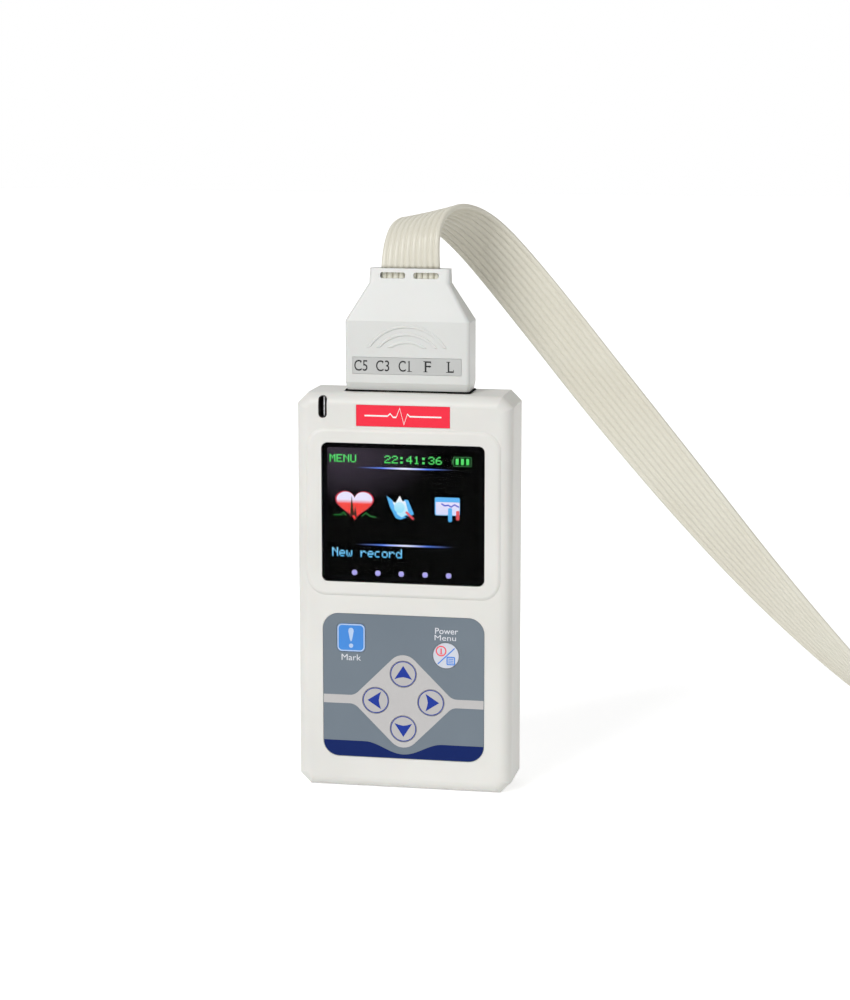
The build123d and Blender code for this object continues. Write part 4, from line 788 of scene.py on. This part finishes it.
# Cable plug: two hood halves of white ABS held by two screws, with a lettered strip on each face.
# The moulding is whiter and glossier than the case.
hood_abs = moulded_plastic(
    "hood_abs_white", "#dedfdc", "#dadbd8", 0.36, 0.4, 0.2, Subsurface_Weight=0.05, Subsurface_Scale=0.6 * mm
)
dress("plug_front_hood plug_rear_hood cable_clamps", hood_abs)
strip_film = moulded_plastic("label_film_silver_grey", "#c5c6c4", "#bfc0be", 0.42, 0.3, 0.15, 20.0)
dress("plug_front_label plug_rear_label", strip_film)
strip_ink = printing_ink("label_ink_black", "#141416", 0.4)
front_label_y, rear_label_y = -4.95, 6.45
code_row = (120.5, 123.6)
code_weight = 0.004
lead_codes = [("C5", -15.2, -11.4), ("C3", -8.9, -5.1), ("C1", -2.4, 0.8), ("F", 5.1, 6.9), ("L", 11.7, 13.4)]
serifs = [
    (-11.55, 123.3, 0.16, 0.6), (-13.35, 123.1, 0.16, 0.8), (-7.05, 123.1, 0.16, 0.8),
    (-0.55, 123.1, 0.16, 0.8), (0.75, 120.6, 1.3, 0.18), (0.5, 123.3, 0.5, 0.18), (5.3, 120.6, 1.2, 0.18),
    (5.1, 123.5, 0.8, 0.18), (6.85, 123.2, 0.16, 0.7), (6.4, 122.1, 0.16, 0.7), (11.85, 123.5, 1.1, 0.18),
    (11.6, 120.6, 0.7, 0.18), (13.35, 120.95, 0.16, 0.8),
]
printed(
    "plug_front_codes", [plate_loop(*serif, 0) for serif in serifs], facing_front(front_label_y), strip_ink,
    "cable_plug", [letters(code, (low, high), code_row, code_weight) for code, low, high in lead_codes],
)
rear_codes = [("R", -14.2, -12.2), ("N", -8.8, -6.8), ("C2", -3.4, 0.2), ("C4", 4.2, 7.8), ("C6", 11.0, 14.6)]
printed(
    "plug_rear_codes", [], facing_back(rear_label_y), strip_ink, "cable_plug",
    [letters(code, (low, high), code_row, code_weight) for code, low, high in rear_codes],
)


# Inside the plug the ribbon's ten leads run side by side from the pins to the neck.
# They are ten equal tubes in a row, seen through the two windows in the neck.
def row_of_leads(tree, given):
    """Upright leads in a row."""
    step = add(tree, "ShaderNodeCombineXYZ", links={"X": given["Pitch"]})
    row = add(
        tree, "GeometryNodeMeshLine", {"mode": "OFFSET"},
        {"Count": given["Count"], "Start Location": given["First foot"], "Offset": step.outputs["Vector"]},
    )
    top = add(tree, "ShaderNodeCombineXYZ", links={"Z": given["Length"]})
    run = add(tree, "GeometryNodeCurvePrimitiveLine", links={"End": top.outputs["Vector"]})
    skin = add(tree, "GeometryNodeCurvePrimitiveCircle", {"Resolution": 20}, {"Radius": given["Radius"]})
    lead = add(
        tree, "GeometryNodeCurveToMesh", {"Fill Caps": True},
        {"Curve": run.outputs["Curve"], "Profile Curve": skin.outputs["Curve"]},
    )
    leads = add(
        tree, "GeometryNodeInstanceOnPoints",
        links={"Points": row.outputs["Mesh"], "Instance": lead.outputs["Mesh"]},
    )
    return leads.outputs["Instances"]


# Patient cable, first part: ten PVC-sheathed leads welded side by side into a ribbon.
# The weld leaves a shallow groove between neighbours, and PVC is smooth and slightly waxy.
def nurbs_line(name, points, thickness=0.0):
    """Curve of one open spline with these control points, in metres."""
    shape = bpy.data.curves.new(name, "CURVE")
    shape.dimensions = "3D"
    shape.resolution_u = 14
    shape.bevel_resolution = 4
    shape.use_fill_caps = True
    shape.bevel_depth = thickness / 2
    line = shape.splines.new("NURBS")
    line.points.add(len(points) - 1)
    for knot, place in zip(line.points, points):
        knot.co = (*place, 1)
    line.order_u = 3
    line.use_endpoint_u = True
    return bpy.data.objects.new(name, shape)


def in_metres(place_mm):
    """A place given in millimetres, in metres."""
    return tuple([round(c * mm, 5) for c in place_mm])


def read_line(points):
    """The places along a spline, as Blender itself gives them."""
    run = evaluated_mesh(nurbs_line("guide", points))
    places = [v.co.copy() for v in run.vertices]
    bpy.data.meshes.remove(run)
    return places


def headings(places):
    """Direction of a line at each of its places."""
    ends = [places[0], *places, places[-1]]
    return [(after - before).normalized() for before, after in zip(ends, ends[2:])]


def skin_of(name, rings_of_lines):
    """Closed mesh over one or more runs of rings."""
    form = bmesh.new()
    for rings in rings_of_lines:
        rows = [[form.verts.new(place) for place in ring] for ring in rings]
        for near, far in zip(rows, rows[1:]):
            for i in range(len(near)):
                j = (i + 1) % len(near)
                form.faces.new((near[i], near[j], far[j], far[i]))
        form.faces.new(reversed(rows[0]))
        form.faces.new(rows[-1])
    return mesh_of(name, form)


lead_mm = 1.7
lead_count = 10
ribbon_route_mm = [
    ((0, 0.75, 149.3), (1, 0, 0)),
    ((0, 0.75, 156.7), (0.96, -0.26, 0)),
    ((1.0, 7.5, 162.9), (0.93, -0.34, 0.11)),
    ((4.6, 16.5, 164.2), (0.88, -0.38, 0.28)),
    ((9.0, 25.5, 161.6), (0.84, -0.33, 0.42)),
    ((14.5, 32.0, 156.0), (0.79, -0.22, 0.57)),
    ((22.0, 34.8, 147.2), (0.77, -0.08, 0.64)),
    ((34.0, 33.5, 133.3), (0.77, 0.08, 0.64)),
    ((52.0, 29.8, 112.0), (0.76, 0, 0.65)),
    ((75.0, 28.2, 85.0), (0.73, -0.25, 0.63)),
    ((99.0, 28.5, 57.5), (0.60, -0.55, 0.55)),
    ((122.0, 29.5, 34.0), (0.42, -0.78, 0.42)),
    ((141.0, 31.0, 16.8), (0.22, -0.93, 0.22)),
    ((156.0, 32.6, 6.0), (0.05, -1, 0.05)),
    ((170.0, 34.0, 2.65), (0, -1, 0)),
    ((182.0, 34.0, 2.65), (0, -1, 0)),
]
edge_reach_mm = 10.0
middle_line = read_line([in_metres(place) for place, _ in ribbon_route_mm])
edge_places = []
for place, across in ribbon_route_mm:
    edge_places.append(Vector(in_metres(place)) + Vector(across).normalized() * (edge_reach_mm * mm))
edge_line = read_line(edge_places)

# Outline across the ribbon: ten round backs above, ten below, with a groove at each weld.
groove_share = 0.12
steps = 9
outline = []
for side in (1, -1):
    for i in range(lead_count):
        lead_at = (i - (lead_count - 1) / 2) * side * lead_mm
        for k in range(steps):
            across = (k + 0.5) / steps * 2 - 1
            height = max(math.sqrt(1 - across * across), groove_share)
            outline.append((lead_at + side * across * lead_mm / 2, side * height * lead_mm / 2))
rings = []
for place, edge, ahead in zip(middle_line, edge_line, headings(middle_line)):
    across = edge - place
    across = (across - ahead * across.dot(ahead)).normalized()
    up = across.cross(ahead)
    rings.append([place + across * (a * mm) + up * (b * mm) for a, b in outline])
pvc_sheath = moulded_plastic(
    "ribbon_pvc_sheath", "#e2dfd1", "#dedacb", 0.34, 0.6, 0.06, 25.0, Coat_Weight=0.1, Coat_Roughness=0.25
)
ribbon = new_piece("patient_ribbon", skin_of("patient_ribbon", [rings]), pvc_sheath)
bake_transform(ribbon)
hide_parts("ribbon_cable")
lead_foot_z, lead_top_z = 125.8, 149.25
lead_sizes = {
    "Count": lead_count,
    "Pitch": lead_mm * mm,
    "Radius": lead_mm / 2 * mm,
    "Length": (lead_top_z - lead_foot_z) * mm,
    "First foot": (-(lead_count - 1) / 2 * lead_mm * mm, 0.75 * mm, lead_foot_z * mm),
}
# Painted light: the leads inside the neck get a paler copy of the sheath's colour, so that they look lit
# although the neck shades them.
lead_pvc = moulded_plastic("lead_pvc_painted_light", "#f4f2e4", "#efecdc", 0.36, 0.6, 0.06, 25.0)
plug_leads = new_piece(
    "plug_lead_row", grown_mesh("plug_lead_row", lead_sizes, row_of_leads, lead_pvc), lead_pvc, "cable_plug"
)
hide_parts("plug_wires")

# Patient cable, second part: the ten leads twisted loosely into a round bundle.
# It is wound in two turns, one on the other, so that the cable can be put away.
# Each half turn has its radius and where its middle lies, and the cable has a height at every step.
# The knots stand a little outside the turns, because a spline runs inside its knots.
coil_x_mm = 220.0
half_turns_mm = ((39.0, -5.0), (35.4, -8.6), (31.8, -4.76), (35.4, -0.9))
coil_heights_mm = (
    4.2, 3.9, 3.6, 3.6, 3.6, 3.8, 4.2, 3.8, 3.6, 3.6, 3.6, 3.6, 3.6, 4.2, 5.6, 7.7, 9.9, 11.6, 12.2, 12.0,
    11.5, 11.2, 11.2, 11.6, 12.2,
)
turn_steps = 6
knots_out = 1 / math.cos(math.pi / 2 / turn_steps)
bundle_route_mm = [(204.0, 34.0, 4.25), (212.0, 34.0, 4.25)]
for step, height in enumerate(coil_heights_mm):
    ended = half_turns_mm[max(math.ceil(step / turn_steps) - 1, 0)]
    begun = half_turns_mm[min(step // turn_steps, len(half_turns_mm) - 1)]
    radius, middle = [(a + b) / 2 * size for a, b, size in zip(ended, begun, (knots_out, 1))]
    turn = math.pi * step / turn_steps
    x, y = coil_x_mm + radius * math.sin(turn), middle + radius * math.cos(turn)
    bundle_route_mm.append((round(x, 1), round(y, 1), height))
bundle_route_mm += [(236.5, 34.5, 12.0), (250.0, 37.0, 8.0), (263.5, 37.0, 4.25), (275.0, 30.4, 4.25)]
bundle_mm = 6.6
twist_mm = 55.0
strand_sides = 8
bundle_line = read_line([in_metres(place) for place in bundle_route_mm])
outer_count = 8
outer_reach_mm = (bundle_mm - lead_mm) / 2
strands = [(outer_reach_mm, 2 * math.pi * i / outer_count) for i in range(outer_count)]
strands += [(lead_mm / 2, 0.0), (lead_mm / 2, math.pi)]
runs = [[] for _ in strands]
side = Vector((0, 0, 1))
turned = 0.0
for i, (place, ahead) in enumerate(zip(bundle_line, headings(bundle_line))):
    side = (side - ahead * side.dot(ahead)).normalized()
    other = ahead.cross(side)
    if i:
        turned += (place - bundle_line[i - 1]).length / (twist_mm * mm) * 2 * math.pi
    for run, (out_mm, phase) in zip(runs, strands):
        angle = phase + turned
        centre = place + (side * math.cos(angle) + other * math.sin(angle)) * (out_mm * mm)
        ring = []
        for k in range(strand_sides):
            turn = 2 * math.pi * k / strand_sides
            ring.append(centre + (side * math.cos(turn) + other * math.sin(turn)) * (lead_mm / 2 * mm))
        run.append(ring)
bundle = new_piece("lead_bundle_wound", skin_of("lead_bundle_wound", runs), pvc_sheath, "recorder")
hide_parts("lead_coil", "lead_bundle")

# Strap: a band of woven nylon, hooks on one side and loops on the other, wrapped once and lapped over itself.
# It is cut from 6 mm tape, so its edges are straight and its face is a close, soft pile.
strap_low, strap_high = Vector((0.22, -0.044, 0.00425)), Vector((0.22, -0.036295, 0.01225))
strap_wide_mm, strap_thick_mm, strap_gap_mm = 6.0, 0.65, 0.25
strap_reach_mm = bundle_mm / 2 + strap_gap_mm + strap_thick_mm / 2
lap_mm = 0.72
half_steps = 14
lean = math.atan2(strap_high.z - strap_low.z, strap_high.y - strap_low.y)
under, over = lean - math.pi / 2, lean + math.pi / 2
w, h, cut = strap_wide_mm / 2, strap_thick_mm / 2, 0.15
section = [
    (-w, -h + cut), (-w + cut, -h), (w - cut, -h), (w, -h + cut), (w, h - cut), (w - cut, h), (-w + cut, h),
    (-w, h - cut),
]
strap_rings = []
for centre, first, lift in ((strap_high, under, 0), (strap_low, over, 0), (strap_high, under, lap_mm)):
    for k in range(half_steps + 1):
        turn = first + math.pi * k / half_steps
        out = Vector((0, math.cos(turn), math.sin(turn)))
        middle = centre + out * ((strap_reach_mm + lift) * mm)
        strap_rings.append([middle + Vector((u * mm, 0, 0)) + out * (v * mm) for u, v in section])
strap_nylon = moulded_plastic(
    "strap_nylon_black", "#2c2d31", "#232428", 0.85, 0.5, 0.9, 3.0, Sheen_Weight=0.4
)
strap = new_piece("coil_strap_woven", skin_of("coil_strap_woven", [strap_rings]), strap_nylon, "recorder")
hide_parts("coil_strap")

# Patient cable, last part: ten single leads, each to a snap that holds an electrode.
# A snap is a moulded cap in its lead's own colour, with a sprung brass ring in its bore.
# The leads leave the organiser side by side, sink to the surface and fan out to a near and a far row.
snap_colours = {
    "r": ("#c8242b", "#bd2027"), "l": ("#e8c21c", "#ddb818"), "f": ("#2f9247", "#2b8841"),
    "n": ("#26262a", "#202024"), "c1": ("#d8d6d0", "#cfcdc6"), "c2": ("#dcb520", "#d1ab1c"),
    "c3": ("#3a9a52", "#358f4b"), "c4": ("#6d4527", "#643f23"), "c5": ("#2a2a2e", "#242428"),
    "c6": ("#6b4a9c", "#634491"),
}
organiser_start_mm, organiser_turn, organiser_mm = (275.0, 30.36), -30.0, 16.0
organiser_pitch_mm, clearance_mm = 2.1, 0.05
row_reach_mm = (37.95, 54.45)
fan_first, fan_step = 14.0, -9.5
leaving_mm, entering_mm = 5.0, 4.0
low_share = 0.52
lead_heights_mm = (2.05, 2.05, 0.9, 2.35, 2.35)


def heading(degrees):
    """Direction along the surface."""
    return Vector((math.cos(math.radians(degrees)), math.sin(math.radians(degrees))))


def lead_route(number):
    """Control points of one lead: out of the organiser, down to the surface and into its snap."""
    straight, ahead = heading(organiser_turn), heading(fan_first + fan_step * number)
    middle = Vector(organiser_start_mm) + straight * organiser_mm
    aside_mm = ((lead_count - 1) / 2 - number) * organiser_pitch_mm
    foot = middle + straight * clearance_mm + heading(organiser_turn + 90) * aside_mm
    out = foot + straight * leaving_mm
    end = middle + ahead * row_reach_mm[number % 2]
    entry = end - ahead * entering_mm
    places = (foot, out, out.lerp(entry, low_share), entry, end)
    return [in_metres((*place, height)) for place, height in zip(places, lead_heights_mm)]


# The ten caps are one solid in the frame: each linked group of its corners is one cap.
merged = bmesh.new()
merged.from_mesh(nodes["snap_housings"].data)
bmesh.ops.remove_doubles(merged, verts=merged.verts, dist=0.002 * mm)
merged.verts.ensure_lookup_table()
caps, seen = [], set()
for start in merged.verts:
    if start.index in seen:
        continue
    group, edge_of_group = [], [start]
    seen.add(start.index)
    while edge_of_group:
        vert = edge_of_group.pop()
        group.append(vert)
        for link in vert.link_edges:
            other = link.other_vert(vert)
            if other.index not in seen:
                seen.add(other.index)
                edge_of_group.append(other)
    caps.append(group)
for number, (name, colours) in enumerate(snap_colours.items()):
    route = lead_route(number)
    lead = put_in(nurbs_line("lead_" + name + "_wire", route, lead_mm * mm))
    lead.data.materials.append(pvc_sheath)
    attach(lead, "recorder")
    end = Vector(route[-1])
    cap = min(caps, key=lambda group: min((v.co - end).length for v in group))
    numbers = {v.index: i for i, v in enumerate(cap)}
    faces = {face for v in cap for face in v.link_faces}
    mesh = bpy.data.meshes.new("snap_" + name)
    mesh.from_pydata([v.co[:] for v in cap], [], [[numbers[v.index] for v in face.verts] for face in faces])
    snap_plastic = moulded_plastic("snap_abs_" + name, *colours, 0.35, 0.4, 0.2, 6.0, Coat_Weight=0.15)
    snap = new_piece("snap_" + name, mesh, snap_plastic, "recorder", smooth=False)
    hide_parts("snap_housings")
    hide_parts("lead_" + name)
    line = read_line(route)
merged.free()

# Splitter and organiser: soft PVC moulded over the leads where they part.
# Soft PVC is dull, and takes a faint mottle from the mould. The snaps' rings are nickelled brass.
overmould_pvc = moulded_plastic("overmould_pvc_grey", "#d9d7cf", "#cfcdc4", 0.45, 0.4, 0.25, 12.0)
dress("lead_splitter lead_organiser", overmould_pvc)
dress("snap_rings", nickel_shell)

# Camera at the photograph's viewing angle.
lens = bpy.data.cameras.new("camera")
lens.lens = 93.91
lens.sensor_width = 36.0
lens.clip_start = 0.01
camera = put_in(bpy.data.objects.new("camera", lens))
eye = Vector((0.141439, -0.722787, 0.211281))
target = Vector((0.0042504, 0, 0.0830647))
camera.location = eye
camera.rotation_euler = (target - eye).to_track_quat("-Z", "Y").to_euler()
bpy.context.scene.camera = camera

# Floor and backdrop: a plain white sheet under the object.
# It is seen white where nothing shades it, and keeps the object's soft shadow.
reach_m = 3.0
floor = bmesh.new()
floor.faces.new([floor.verts.new((u * reach_m, v * reach_m, 0)) for u, v in quarters])
floor_mesh = bpy.data.meshes.new("floor")
floor.to_mesh(floor_mesh)
floor.free()


def seen_level(tree, kinds, unseen, seen):
    """One level for rays of these kinds and another for the light that falls on things."""
    rays = add(tree, "ShaderNodeLightPath")
    share = rays.outputs[kinds[0]]
    for kind in kinds[1:]:
        either = add(tree, "ShaderNodeMath", {"operation": "MAXIMUM"}, {0: share, 1: rays.outputs[kind]})
        share = either.outputs["Value"]
    level = add(tree, "ShaderNodeMapRange", {"To Min": unseen, "To Max": seen}, {"Value": share})
    return level.outputs["Result"]


paper, tree, shader = new_finish("backdrop_paper_white", Base_Color=hex_colour("#f7f7f7"), Roughness=0.9)
shine = seen_level(tree, ("Is Camera Ray", "Is Glossy Ray", "Is Transmission Ray"), 0.0, 0.5)
tree.links.new(shine, shader.inputs["Emission Strength"])
shader.inputs["Emission Color"].default_value = (1, 1, 1, 1)
sheet = put_in(bpy.data.objects.new("floor", floor_mesh))
sheet.data.materials.append(paper)

# Light: an even white surround and three broad soft lamps, the strongest from the upper left.
# Each lamp has its name, the side it shines from, its width in degrees and its strength.
world = bpy.data.worlds.new("studio")
world.use_nodes = True
bpy.context.scene.world = world
tree = world.node_tree
around = tree.nodes["Background"]
around.inputs["Color"].default_value = (1, 1, 1, 1)
level = seen_level(tree, ("Is Camera Ray", "Is Transmission Ray"), 0.4, 1.0)
tree.links.new(level, around.inputs["Strength"])
lamps = [
    ("key_lamp", (-0.4, -0.78, 0.55), 25.0, 1.6),
    ("fill_lamp", (0.75, -0.55, 0.4), 50.0, 0.42),
    ("back_lamp", (-0.5, 0.8, 0.5), 50.0, 0.3),
]
for name, towards, width, strength in lamps:
    light = bpy.data.lights.new(name, "SUN")
    light.angle = math.radians(width)
    light.energy = strength
    lamp = put_in(bpy.data.objects.new(name, light))
    lamp.rotation_euler = (-Vector(towards)).to_track_quat("-Z", "Y").to_euler()
bpy.context.scene.view_settings.view_transform = "Standard"
